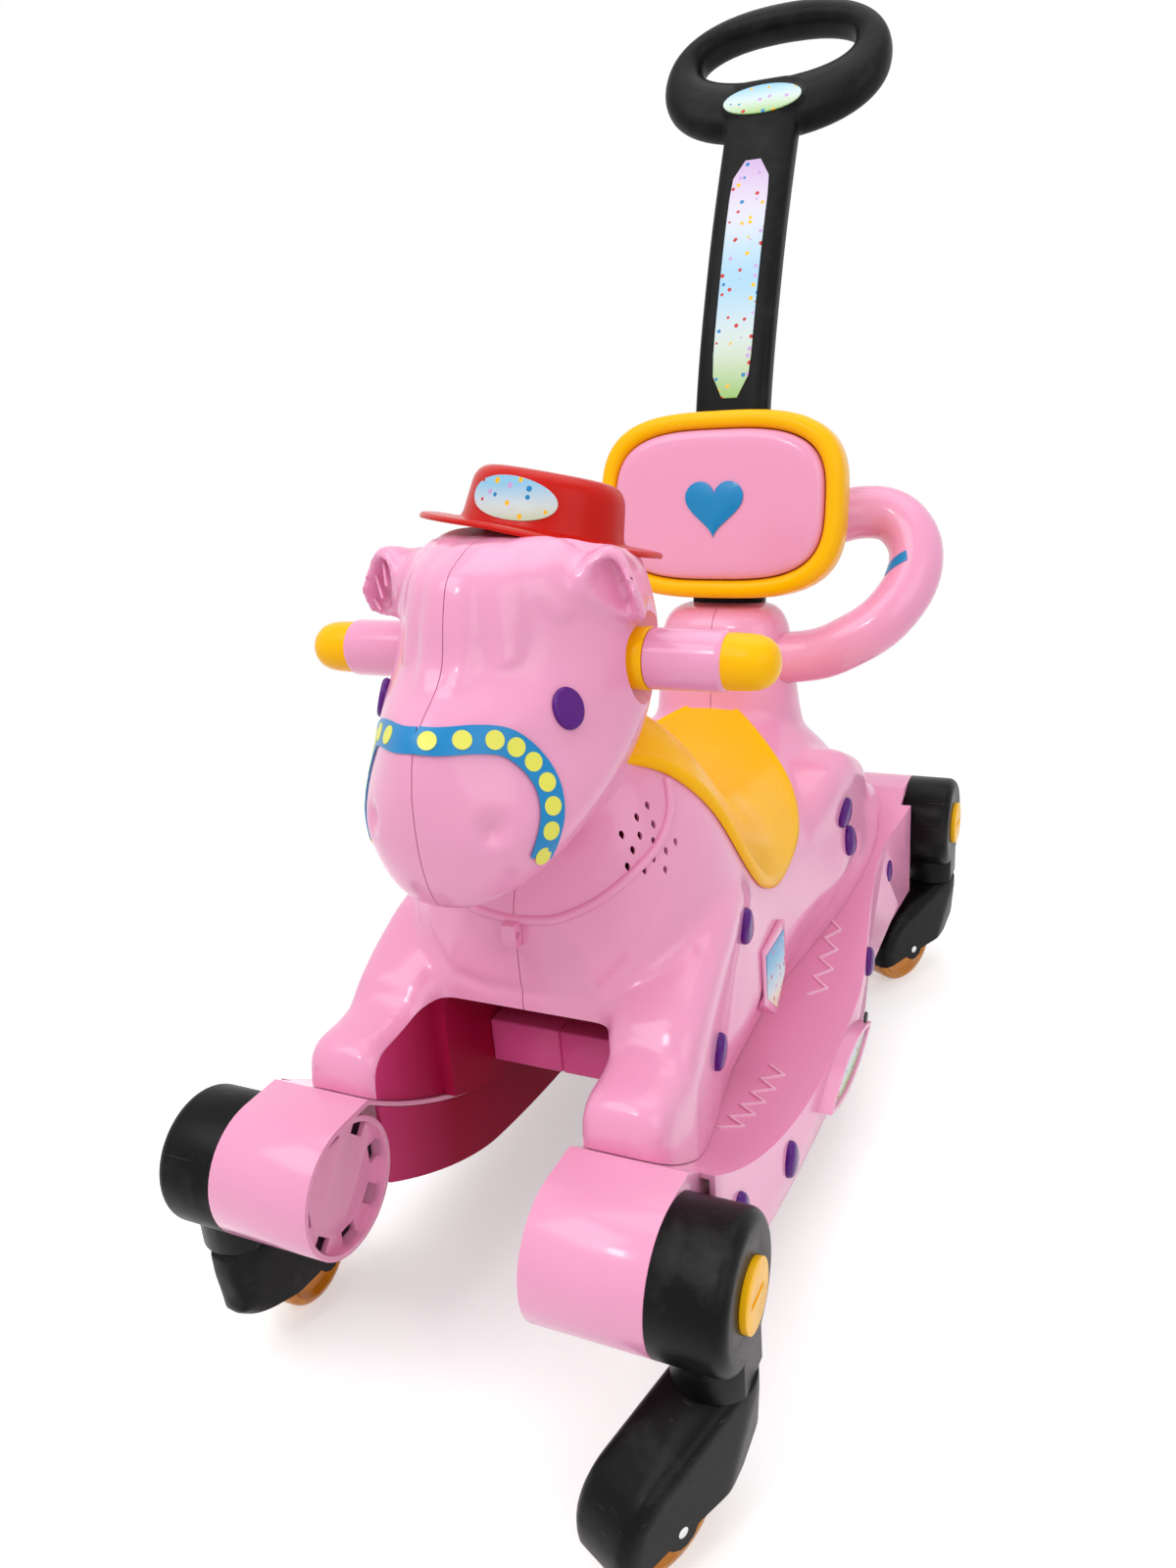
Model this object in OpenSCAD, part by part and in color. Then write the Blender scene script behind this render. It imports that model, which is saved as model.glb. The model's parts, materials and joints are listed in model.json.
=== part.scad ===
// Ride on rocking horse with four fold up caster legs.
// The horse faces -Y, +X is its left side, and the wheels stand on z = 0.

/* [Running gear] */
// Distance between the front and rear drum axes
wheelbase = 566; // [540:2:590]
// Height of the drum axes above the floor
drum_z = 130; // [126:1:134]
// Outer radius of a drum
drum_r = 37; // [36:0.5:38]
// Inner end of a drum, from the middle plane
drum_in_x = 59; // [57:1:61]
// Outer end of a drum, from the middle plane
drum_out_x = 120; // [119:0.5:121]
// Wall of the moulded shells
wall = 3; // [2.5:0.1:3.4]
// Wheel radius
wheel_r = 31; // [29:0.5:32]
// Width of a wheel
wheel_w = 20; // [18:0.5:21]
// Distance from the swivel axis to the wheel axle
trail = 43; // [41:0.5:45]
// Radius of a wheel axle
axle_r = 3; // [2.5:0.1:3.5]
// Radius of a caster stem
stem_r = 7; // [6:0.25:8]
// Height of the joint between leg column and fork
ankle_z = 82; // [80:0.5:84]

/* [Rockers] */
// Lowest point of the runner above the floor
runner_z = 48; // [44:1:52]
// Height of the foot tray at its lowest point
tray_z = 80; // [78:1:82]
// Height of the foot tray at the feet
tray_end_z = 165; // [163:0.5:166]
// Outer face of the rocker wall, from the middle plane
rocker_x = 128; // [126:0.5:130]
// Depth of the flange along the runner
runner_flange = 12; // [8:1:16]

/* [Body] */
// Half width of the body at the haunches
body_w = 104; // [100:1:108]
// Height of the back under the saddle
back_z = 254; // [248:1:260]
// Distance from the chest to the rump
body_len = 438; // [430:2:446]
// Height of the head from the chin to its top
head_h = 156; // [152:1:160]
// Half width of the head at the cheeks
head_w = 74; // [72:0.5:76]
// Depth of the head from the muzzle to the nape
head_d = 172; // [168:1:176]
// Half width of the arch between the front feet
arch_w = 53; // [48:1:56]
// Height of the arch between the front feet
arch_z = 192; // [188:1:195]

/* [Seat and handles] */
// Thickness of the saddle
saddle_t = 3.5; // [3:0.1:4.5]
// Half length of the handlebar with its caps
bar_half = 135; // [130:1:140]
// Radius of the handlebar rod
bar_r = 11; // [10:0.25:12]
// Radius of a grip
grip_r = 15.5; // [15:0.25:17]
// Width of the backrest
backrest_w = 186; // [176:1:192]
// Height of the backrest
backrest_h = 134; // [128:1:140]
// Width of the push bar blade
blade_w = 56; // [50:1:60]
// Thickness of the push bar blade
blade_t = 20; // [17:0.5:22]
// Width of the loop handle
loop_w = 176; // [168:1:184]
// Height of the loop handle
loop_h = 120; // [114:1:126]
// Radius of the loop handle tube
loop_r = 14; // [12:0.5:15]
// Radius of the guard rail tube
rail_r = 19; // [17:0.5:20]
// Half width of the hat brim
brim_w = 66; // [62:1:70]

/* [Hidden] */
$fn = 64;

// Shell pink, saddle yellow, leg black and the other moulding colours
PINK = "#ec9fd0";
YELLOW = "#ffc21a";
BLACK = "#2a2c2d";
PURPLE = "#6a2a8c";
RED = "#dc2a20";
AMBER = "#f0a63a";
BLUE = "#1f9bd0";
STEEL = "#b9bcbe";
PALE = "#f1ead8";

// One overrun serves all cuts, one gap keeps moving faces apart, one fit serves shafts in holes
over = 1;
gap = 0.4;
fit = 0.05;
// Distance from the middle of the wheelbase to the middle of the whole object
datum_y = -9.64;

// Smooth curve through a table of [place, value] pairs
function span(t, u, i = 0) = i >= len(t) - 2 || u < t[i + 1][0] ? i : span(t, u, i + 1);
function slope(t, i) =
    i <= 0 || i >= len(t) - 1 ? 0 : (t[i + 1][1] - t[i - 1][1]) / (t[i + 1][0] - t[i - 1][0]);
function ease(t, u) =
    let (i = span(t, u), a = t[i], b = t[i + 1], d = b[0] - a[0])
    let (k = min(max((u - a[0]) / d, 0), 1), k2 = k * k, k3 = k2 * k)
    (2 * k3 - 3 * k2 + 1) * a[1] + (k3 - 2 * k2 + k) * d * slope(t, i)
    + (3 * k2 - 2 * k3) * b[1] + (k3 - k2) * d * slope(t, i + 1);

// Solid through rings of equally many points, with flat ends
function total(v, i = 0) = i == len(v) - 1 ? v[i] : v[i] + total(v, i + 1);
function middle(ring) = total(ring) / len(ring);
function area_way(ring) =
    let (c = middle(ring), n = len(ring))
    total([for (j = [0:n - 1]) cross(ring[j] - c, ring[(j + 1) % n] - c)]);
module loft(rings) {
    n = len(rings[0]);
    m = len(rings);
    turned = area_way(rings[1]) * (middle(rings[2]) - middle(rings[0])) > 0;
    way = function (f) turned ? [for (k = [len(f) - 1:-1:0]) f[k]] : f;
    faces = [for (i = [0:m - 2], j = [0:n - 1], side = [0:1])
        let (k = (j + 1) % n)
        way(side == 0 ? [i * n + j, i * n + k, (i + 1) * n + j]
            : [i * n + k, (i + 1) * n + k, (i + 1) * n + j])];
    first = [way([for (j = [0:n - 1]) n - 1 - j])];
    last = [way([for (j = [0:n - 1]) (m - 1) * n + j])];
    polyhedron([for (r = rings, p = r) p], concat(faces, first, last), convexity = 6);
}

// Tube of round or flat section along a path in space, with one side direction kept
function unit(v) = v / norm(v);
module sweep(path, across, ra, rb, sides = 12, power = 2) {
    last = len(path) - 1;
    loft([for (i = [0:last])
        let (t = unit(path[min(i + 1, last)] - path[max(i - 1, 0)]))
        let (b = unit(cross(t, across)), a = cross(b, t))
        [for (q = rounded(ra, rb, power, sides)) path[i] + a * q[0] + b * q[1]]]);
}

// Body

// Places along the body are shares of its length, from chest to rump
chest_y = -188;
// Distance from a drum axis to the end of the tray arc
tray_set = 28;
floor_r = ((wheelbase / 2 - tray_set) ^ 2 + (tray_end_z - tray_z) ^ 2) / (2 * (tray_end_z - tray_z));
floor_z = tray_z + floor_r;
shoulder_z = 150;
torso_steps = 18;
torso_turns = 8;
back_shares = [[0, 1], [0.03, 1.18], [0.08, 1.32], [0.14, 1.37], [0.2, 1.34], [0.3, 1.17], [0.4, 1.04],
    [0.52, 1], [0.65, 1.01], [0.78, 1.05], [0.88, 0.99], [0.95, 0.84], [1, 0.68]];
flank_shares = [[0, 0.5], [0.02, 0.65], [0.06, 0.79], [0.12, 0.89], [0.2, 0.94], [0.35, 0.92], [0.5, 0.9],
    [0.62, 0.93], [0.72, 1], [0.82, 0.99], [0.92, 0.84], [1, 0.55]];
torso_power_share = 2.8;
// Width of the body at the runners as a share of its width at the shoulder
belly_share = 0.6;

function torso_y(s) = chest_y + body_len * s;
function torso_top(s) = back_z * ease(back_shares, s);
function torso_side(s) = body_w * ease(flank_shares, s);
function torso_at(s, turn, grow) =
    let (w = torso_side(s) + grow, h = torso_top(s) + grow - shoulder_z, p = 2 / torso_power_share)
    [w * sign(sin(turn)) * abs(sin(turn)) ^ p, torso_y(s), shoulder_z + h * abs(cos(turn)) ^ p];

module torso(grow) {
    loft([for (i = [0:torso_steps])
        let (s = (1 - cos(180 * i / torso_steps)) / 2)
        let (y = i == 0 ? -grow : i == torso_steps ? grow : 0)
        concat(
            [[torso_side(s) * belly_share + grow, torso_y(s) + y, runner_z]],
            [for (j = [torso_turns:-1:-torso_turns]) torso_at(s, 90 * j / torso_turns, grow) + [0, y, 0]],
            [[-torso_side(s) * belly_share - grow, torso_y(s) + y, runner_z]])]);
}

// Heights in the head are shares from the chin up; depths are shares from the nape to the muzzle
chin_z = 284;
nape_y = -95;
head_steps = 16;
head_turns = 22;
face_shares = [[0, 0.93], [0.04, 0.95], [0.1, 0.975], [0.2, 0.995], [0.3, 1], [0.42, 0.99], [0.54, 0.945],
    [0.67, 0.79], [0.83, 0.73], [0.93, 0.66], [1, 0.5]];
middle_shares = [[0, 0.88], [0.1, 0.78], [0.2, 0.7], [0.3, 0.6], [0.42, 0.46], [0.54, 0.35],
    [0.67, 0.31], [1, 0.3]];
nape_shares = [[0, 0.82], [0.06, 0.68], [0.1, 0.6], [0.2, 0.42], [0.3, 0.26], [0.42, 0.08], [0.54, 0], [0.8, 0],
    [0.92, 0.06], [1, 0.16]];
cheek_shares = [[0, 0.24], [0.04, 0.42], [0.1, 0.6], [0.2, 0.74], [0.3, 0.8], [0.42, 0.89], [0.54, 0.98],
    [0.67, 1], [0.8, 0.94], [0.92, 0.84], [1, 0.58]];
face_power_share = 1.9;
nape_power_share = 2.3;

function head_s(z) = (z - chin_z) / head_h;
function head_z(s) = chin_z + head_h * s;
function head_y(shares, s) = nape_y - head_d * ease(shares, s);
function head_side(s) = head_w * ease(cheek_shares, s);
function head_at(s, turn, grow) =
    let (c = cos(turn), p = 2 / (c > 0 ? face_power_share : nape_power_share), mid = head_y(middle_shares, s))
    let (reach = c > 0 ? mid - head_y(face_shares, s) : head_y(nape_shares, s) - mid)
    [(head_side(s) + grow) * sign(sin(turn)) * abs(sin(turn)) ^ p,
        mid - (reach + grow) * sign(c) * abs(c) ^ p, head_z(s)];

module head(grow) {
    loft([for (i = [0:head_steps])
        let (s = (1 - cos(180 * i / head_steps)) / 2)
        let (z = i == 0 ? -grow : i == head_steps ? grow : 0)
        [for (j = [0:head_turns - 1]) head_at(s, 360 * j / head_turns, grow) + [0, 0, z]]]);
}

// Legs and feet stand on the trays. Each row of shares gives the distance from the toe, the top, the inner
// and outer side and the outer side at the runner, as parts of the leg's length, top and half width
foot_out_x = 106;
leg_top_z = 246;
leg_len = 218;
leg_toe_y = -253;
rear_toe_y = 245;
leg_round = 14;
leg_power_share = 3;
leg_turns = 8;
front_leg_shares = [
    [0, 0.699, 0.623, 0.925, 0.925], [0.018, 0.748, 0.566, 0.981, 0.981], [0.06, 0.772, 0.547, 1, 1],
    [0.142, 0.772, 0.538, 1, 1], [0.206, 0.78, 0.528, 1, 0.981], [0.252, 0.829, 0.509, 0.991, 0.943],
    [0.335, 0.878, 0.472, 0.991, 0.887], [0.45, 0.935, 0.415, 0.981, 0.821], [0.587, 0.98, 0.377, 0.962, 0.755],
    [0.725, 0.992, 0.377, 0.925, 0.689], [0.862, 0.943, 0.377, 0.868, 0.642], [1, 0.833, 0.377, 0.792, 0.585]];
rear_leg_shares = [
    [0, 0.683, 0.623, 0.925, 0.925], [0.041, 0.732, 0.566, 0.981, 0.981], [0.106, 0.748, 0.547, 1, 1],
    [0.179, 0.756, 0.538, 1, 1], [0.243, 0.813, 0.509, 1, 0.972], [0.344, 0.919, 0.472, 1.009, 0.896],
    [0.482, 0.976, 0.415, 1, 0.811], [0.628, 0.959, 0.377, 0.962, 0.717], [0.78, 0.878, 0.377, 0.868, 0.642],
    [0.917, 0.772, 0.377, 0.792, 0.585]];
function column(t, k) = [for (i = [0:len(t) - 1]) [i / (len(t) - 1), t[i][k]]];
function leg_ring(t, u, toe_y, way, grow) =
    let (row = [for (k = [0:4]) ease(column(t, k), u)])
    let (y = toe_y + way * (row[0] * leg_len + (u == 0 ? -grow : u == 1 ? grow : 0)))
    let (in = row[2] * foot_out_x - grow, out = row[3] * foot_out_x + grow, top = row[1] * leg_top_z + grow)
    concat([[row[4] * foot_out_x + grow, y, runner_z]],
        [for (j = [0:leg_turns]) let (a = 180 * j / leg_turns, p = 2 / leg_power_share)
            [(in + out) / 2 + (out - in) / 2 * sign(cos(a)) * abs(cos(a)) ^ p, y,
                top - leg_round * (1 - abs(sin(a)) ^ p)]],
        [[in, y, runner_z]]);
module leg_form(t, toe_y, way, grow) {
    steps = 2 * (len(t) - 1);
    loft([for (i = [0:steps]) leg_ring(t, i / steps, toe_y, way, grow)]);
}
module front_leg(grow) { leg_form(front_leg_shares, leg_toe_y, 1, grow); }
module rear_leg(grow) { leg_form(rear_leg_shares, rear_toe_y, -1, grow); }

// Dome behind the seat that carries backrest, rail and push bar
hump_share = 0.821918;
hump_y = torso_y(hump_share);
hump_top_z = 338;
hump_r = 34;
hump_w = 30;
module hump(grow) {
    hull()
        for (x = [-hump_w, hump_w])
            translate([x, hump_y, 0]) {
                translate([0, 0, hump_top_z - hump_r]) sphere(hump_r + grow, $fn = 20);
                translate([0, 0, back_z - hump_r]) sphere(hump_r + 2 * wall + grow, $fn = 20);
            }
}

// Floppy ear: a cup that hangs out from the top of the head
ear_shares = [0.917, 0.692, 0.846];
ear_root = [50, -158, head_z(ear_shares[0])];
ear_tip = [79, -166, head_z(ear_shares[1])];
ear_back = [64, -134, head_z(ear_shares[2])];
ear_r = 9;
module ear() {
    difference() {
        hull() {
            translate(ear_root) sphere(ear_r + wall, $fn = 16);
            translate(ear_tip) sphere(ear_r - 2 * wall, $fn = 12);
            translate(ear_back) sphere(ear_r, $fn = 16);
        }
        hull() {
            translate(ear_root + [ear_r, -ear_r, 0]) sphere(ear_r - wall, $fn = 12);
            translate(ear_tip + [ear_r / 2, -ear_r, ear_r]) sphere(wall, $fn = 12);
            translate(ear_back + [ear_r, -ear_r, 0]) sphere(ear_r - wall, $fn = 12);
        }
    }
}

bar_y = -142;
bar_share = 0.615;
bar_z = head_z(bar_share);
// Speaker grid of drop shaped holes in the left side of the neck
speaker_share = 0.09;
speaker_p = [48, torso_y(speaker_share), 286];
speaker_r = 19;
speaker_h = 12;
grille_r = 24;
speaker_turn = [90, 0, 60];
hole_r = 1.6;
hole_rings_shares = [0.25, 0.72];
// Eye of a pull cord on the chest seam
lug_z = 240;
lug_w = 8;
lug_h = 14;
lug_bore_r = 2;

module body_solid() {
    difference() {
        union() {
            torso(0);
            head(0);
            hump(0);
            for (side = [0, 1]) mirror([side, 0, 0]) {
                front_leg(0);
                rear_leg(0);
                ear();
            }
        }
        difference() {
            union() {
                torso(-wall);
                head(-wall);
                hump(-wall);
                for (side = [0, 1]) mirror([side, 0, 0]) {
                    front_leg(-wall);
                    rear_leg(-wall);
                }
            }
            for (side = [0, 1]) mirror([side, 0, 0]) grip_pocket(wall);
            channel(wall);
        }
        channel(0);
        bar_passage();
        speaker_holes();
        push_slot();
    }
}

// Pockets in the head take the inner ends of the grips, with a hole for the rod
pocket_x = 56;
module grip_pocket(grow) {
    translate([pocket_x - grow, bar_y, bar_z]) rotate([0, 90, 0])
        cylinder(r = grip_r + wall + grow, h = bar_half, $fn = 28);
}
module bar_passage() {
    for (side = [0, 1]) mirror([side, 0, 0]) {
        grip_pocket(0);
        translate([0, bar_y, bar_z]) rotate([0, 90, 0]) cylinder(r = bar_r + gap, h = bar_half, $fn = 32);
    }
}

// Channel under the body from the front feet to the rear feet
channel_round = 9;
module channel(grow) {
    translate([0, wheelbase / 2, 0]) rotate([90, 0, 0]) linear_extrude(wheelbase) {
        translate([-arch_w - grow, 0]) square([2 * (arch_w + grow), arch_z - channel_round]);
        translate([-arch_w + channel_round, 0]) square([2 * (arch_w - channel_round), arch_z + grow]);
        for (side = [-1, 1]) translate([side * (arch_w - channel_round), arch_z - channel_round])
            circle(channel_round + grow, $fn = 24);
    }
}

module speaker_holes() {
    for (k = [0, 1], j = [0:4 + 4 * k])
        let (a = j * 360 / (5 + 4 * k), r = grille_r * hole_rings_shares[k])
        translate(speaker_p) rotate(speaker_turn) translate([r * cos(a), r * sin(a), 0])
            cylinder(r = hole_r, h = 2 * speaker_r, $fn = 6);
}

module half_space(side) {
    far = wheelbase;
    translate([side > 0 ? 0 : -far, -far, 0]) cube([far, 2 * far, 2 * far]);
}

// The shell stands just clear of the tray, whose floor is part of a large drum shape
module tray_space() {
    translate([0, 0, floor_z]) rotate([0, 90, 0])
        cylinder(r = floor_r - gap, h = 2 * wheelbase, center = true, $fn = 180);
}

module body_half(side) {
    color(PINK) intersection() {
        body_solid();
        half_space(side);
        tray_space();
    }
}

module body_left() { body_half(1); }
module body_right() { body_half(-1); }

// Saddle, laid over the back with flaps on both sides
saddle_from_share = 0.07;
saddle_to_share = 0.8;
saddle_steps = 20;
saddle_turns = 8;
flap_turns = [25, 45, 63, 71, 71, 66, 46, 17, 6];
function saddle_s(i) = saddle_from_share + (saddle_to_share - saddle_from_share) * i / saddle_steps;
function flap_turn(i) =
    ease([for (k = [0:len(flap_turns) - 1]) [k / (len(flap_turns) - 1), flap_turns[k]]], i / saddle_steps);
module saddle() {
    color(YELLOW) difference() {
        loft([for (i = [0:saddle_steps])
            concat(
                [for (j = [saddle_turns:-1:-saddle_turns])
                    torso_at(saddle_s(i), flap_turn(i) * j / saddle_turns, gap + saddle_t)],
                [for (j = [-saddle_turns:saddle_turns])
                    torso_at(saddle_s(i), flap_turn(i) * j / saddle_turns, -saddle_t)])]);
        torso(gap / 2);
        hump(gap);
        head(gap);
        for (side = [0, 1]) mirror([side, 0, 0]) {
            front_leg(gap / 2);
            rear_leg(gap / 2);
        }
    }
}

// Rockers

runner_r = ((wheelbase / 2) ^ 2 + (drum_z - drum_r - runner_z) ^ 2) / (2 * (drum_z - drum_r - runner_z));
label_len = 116;
label_h = 26;
label_out = 9;
label_rim = 3;
label_z = 66;
web_x = 65;
notch_r = 26;
notch_w = 11;
notches = 8;
rib_x = 91;
rib_r = 31;
// Zigzag ribs on the tray, in a front and a rear run
grip_rib_x = 97;
grip_rib_reach = 6;
grip_rib_pitch = 17;
grip_rib_w = 2.6;
grip_rib_h = 1.2;
grip_run_shares = [[-0.5, -0.14], [0.18, 0.48]];

// Side outline of a rocker: runner arc below, tray arc above, a drum at each end
module rocker_outline() {
    intersection() {
        difference() {
            translate([0, runner_z + runner_r]) circle(runner_r, $fn = 180);
            translate([0, floor_z]) circle(floor_r, $fn = 180);
        }
        translate([-wheelbase / 2, 0]) square([wheelbase, drum_z + drum_r]);
    }
    for (side = [-1, 1]) translate([side * wheelbase / 2, drum_z]) circle(drum_r);
}

// Extrudes a side outline, drawn as y and z, along x
module side_plate(x0, x1) {
    translate([x0, 0, 0]) rotate([90, 0, 90]) linear_extrude(x1 - x0) children();
}

// Floor of the tray: what the outline loses when it is moved down by its thickness
module tray_band(thick) {
    intersection() {
        difference() {
            rocker_outline();
            translate([0, -thick]) rocker_outline();
        }
        translate([-wheelbase / 2, tray_z - thick]) square([wheelbase, drum_z]);
    }
}

module runner_band(thick) {
    difference() {
        rocker_outline();
        translate([0, runner_z + runner_r]) circle(runner_r - thick, $fn = 180);
    }
}

// The wall and flange stop short of the hubs
module between_drums() {
    reach = wheelbase / 2 - drum_r - wall / 2;
    intersection() {
        children();
        translate([-reach, 0]) square([2 * reach, 2 * drum_z]);
    }
}

// Wall that closes the rocker between its side and a drum
module drum_shoulder() {
    difference() {
        intersection() {
            rocker_outline();
            translate([-wheelbase / 2, 0]) square([2 * drum_r, 2 * drum_z]);
        }
        translate([-wheelbase / 2, drum_z]) circle((rib_r + drum_r) / 2);
    }
}

// Lens shaped frame that stands out from the wall round the label
module lens(len, high) {
    r = (len ^ 2 / 4 + high ^ 2 / 4) / high;
    intersection_for(side = [-1, 1]) translate([0, side * (r - high / 2)]) circle(r, $fn = 96);
}

module zigzag(y0, y1) {
    n = 2 * floor((y1 - y0) / grip_rib_pitch);
    edge = function (dx) [for (i = [0:n])
        [grip_rib_x + dx + grip_rib_reach * (i % 2 == 0 ? -1 : 1), y0 + (y1 - y0) * i / n]];
    back = edge(grip_rib_w);
    linear_extrude(shoulder_z) polygon(concat(edge(0), [for (i = [n:-1:0]) back[i]]));
}
module tray_ribs() {
    intersection() {
        for (run = grip_run_shares) zigzag(run[0] * wheelbase / 2, run[1] * wheelbase / 2);
        translate([drum_in_x, 0, floor_z]) rotate([0, 90, 0]) difference() {
            cylinder(r = floor_r + wall / 2, h = rocker_x - drum_in_x, $fn = 180);
            translate([0, 0, -over]) cylinder(r = floor_r - grip_rib_h, h = rocker_x, $fn = 180);
        }
    }
}

module rocker_left() {
    color(PINK) difference() {
        union() {
            tray_ribs();
            side_plate(rocker_x - wall, rocker_x) between_drums() rocker_outline();
            for (side = [0, 1]) mirror([0, side, 0])
                side_plate(drum_out_x - wall, drum_out_x) drum_shoulder();
            side_plate(drum_in_x, drum_out_x) tray_band(wall);
            side_plate(drum_out_x, rocker_x) between_drums() tray_band(wall);
            side_plate(rocker_x - runner_flange, rocker_x) between_drums() runner_band(wall);
            translate([0, 0, label_z]) side_plate(rocker_x - wall, rocker_x + label_out)
                lens(label_len, label_h);
            for (side = [-1, 1]) drum(side * wheelbase / 2);
        }
        translate([0, 0, label_z]) side_plate(rocker_x + label_out - label_rim, rocker_x + label_out + over)
            lens(label_len - 4 * label_rim, label_h - 2 * label_rim);
    }
}

// Drum with its recessed web, whose notches show the hub hooks, and the rib that retains them
module drum(y) {
    translate([drum_in_x, y, drum_z]) rotate([90, 0, 90]) difference() {
        cylinder(r = drum_r, h = drum_out_x - drum_in_x);
        translate([0, 0, -over]) cylinder(r = drum_r - wall, h = web_x - drum_in_x + over);
        translate([0, 0, web_x + wall - drum_in_x]) cylinder(r = drum_r - wall, h = rib_x - web_x - wall);
        translate([0, 0, rib_x - drum_in_x - over]) cylinder(r = rib_r, h = drum_out_x);
        for (k = [0:notches - 1]) rotate(k * 360 / notches)
            translate([notch_r, -notch_w / 2, web_x - drum_in_x - over])
                cube([drum_r - wall - notch_r, notch_w, wall + 2 * over]);
    }
}

cross_y = -131;
cross_z = 134;
cross_h = 29;
cross_d = 18;
cross_seam_x = -6;
module rocker_right() { mirror([1, 0, 0]) rocker_left(); }

// Cross bar: two box halves that butt on a seam and end on the walls of the channel
module cross_bar() {
    end_x = arch_w - gap / 4;
    color(PINK) for (span = [[-end_x, cross_seam_x], [cross_seam_x + gap / 2, end_x]])
        translate([span[0], cross_y - cross_d / 2, cross_z - cross_h / 2])
            cube([span[1] - span[0], cross_d, cross_h]);
}

plate_t = 1;
module rocker_label() {
    inset = 4 * label_rim + 2 * gap;
    color(PALE) translate([0, 0, label_z]) side_plate(rocker_x + label_out - label_rim, rocker_x + label_out
        - label_rim + plate_t) lens(label_len - inset, label_h - inset / 2);
}

// Hat: oval crown and brim, tilted to the horse's left
hat_share = 0.987;
hat_p = [-2, -114, head_z(hat_share)];
hat_tilt = [-3, 13, 0];
brim_t = 3;
brim_d_share = 0.86;
crown_w = 44;
crown_top_w = 40;
crown_h = 33;
crown_round = 8;
peak = 16;
module oval(w, d, h) { resize([2 * w, 2 * d, h]) cylinder(r = w, h = h, $fn = 40); }
module hat_frame() { translate(hat_p) rotate(hat_tilt) children(); }
module hat() {
    color(RED) hat_frame() {
        difference() {
            union() {
                hull() {
                    oval(brim_w, brim_w * brim_d_share, brim_t);
                    translate([0, -peak, 0]) oval(crown_w, brim_w * brim_d_share, brim_t);
                }
                hull() {
                    oval(crown_w, crown_w * brim_d_share, brim_t);
                    translate([0, 0, crown_h - crown_round])
                        oval(crown_top_w, crown_top_w * brim_d_share, brim_t);
                    translate([0, 0, crown_h - brim_t])
                        oval(crown_top_w - crown_round, crown_top_w * brim_d_share - crown_round, brim_t);
                }
            }
            translate([0, 0, -over]) hull() {
                oval(crown_w - wall, crown_w * brim_d_share - wall, brim_t);
                translate([0, 0, crown_h - crown_round - brim_t])
                    oval(crown_top_w - wall, crown_top_w * brim_d_share - wall, brim_t);
            }
            rotate([-hat_tilt[0], -hat_tilt[1], 0]) translate(-hat_p) head(gap);
        }
    }
}
hat_label_w = 50;
hat_label_h = 22;
module hat_label() {
    front = crown_w * brim_d_share;
    color(PALE) hat_frame() difference() {
        translate([0, 0, crown_h / 2]) rotate([90, 0, 0])
            resize([hat_label_w, hat_label_h, front + plate_t])
                cylinder(r = hat_label_h, h = front + plate_t, $fn = 32);
        hull() {
            oval(crown_w + gap, front + gap, brim_t);
            translate([0, 0, crown_h - crown_round])
                oval(crown_top_w + gap, crown_top_w * brim_d_share + gap, brim_t);
        }
    }
}

// Handlebar with grips and domed caps
grip_x = 61;
grip_end_x = 109;
cap_r = 14;
// Height of the dome as a share of its radius
dome_share = 0.8;
module handlebar() {
    color(YELLOW) translate([0, bar_y, bar_z]) rotate([0, 90, 0])
        cylinder(r = bar_r, h = 2 * (grip_end_x + 2 * wall), center = true);
}
module on_bar(side) { translate([0, bar_y, bar_z]) rotate([0, side * 90, 0]) children(); }
module grip(side) {
    color(PINK) on_bar(side) translate([0, 0, grip_x]) difference() {
        cylinder(r = grip_r, h = grip_end_x - grip_x);
        translate([0, 0, -over]) cylinder(r = bar_r + fit, h = grip_end_x);
    }
}
module grip_left() { grip(1); }
module grip_right() { grip(-1); }
module bar_cap(side) {
    dome = cap_r * dome_share;
    color(YELLOW) on_bar(side) difference() {
        translate([0, 0, grip_end_x]) rotate_extrude() intersection() {
            union() {
                square([cap_r, bar_half - grip_end_x - dome]);
                translate([0, bar_half - grip_end_x - cap_r]) circle(cap_r);
            }
            square([cap_r, bar_half]);
        }
        cylinder(r = bar_r + fit, h = grip_end_x + 2 * wall + fit);
    }
}
module bar_cap_left() { bar_cap(1); }
module bar_cap_right() { bar_cap(-1); }

// Eyes: oval domed buttons on the sides of the face
eye_share = 0.577;
eye_z = head_z(eye_share);
eye_w = 17;
eye_h = 21;
eye_t = 5;
eye_turn = 52;
eye_lean = 12;
module eye(side) {
    color(PURPLE) difference() {
        mirror([side, 0, 0]) translate(head_at(head_s(eye_z), eye_turn, 0)) rotate([0, 0, eye_turn])
            rotate([0, eye_lean, 0]) resize([eye_w, 2 * eye_t, eye_h]) sphere(eye_w, $fn = 24);
        head(gap / 2);
    }
}
module eye_left() { eye(0); }
module eye_right() { eye(1); }

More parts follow.
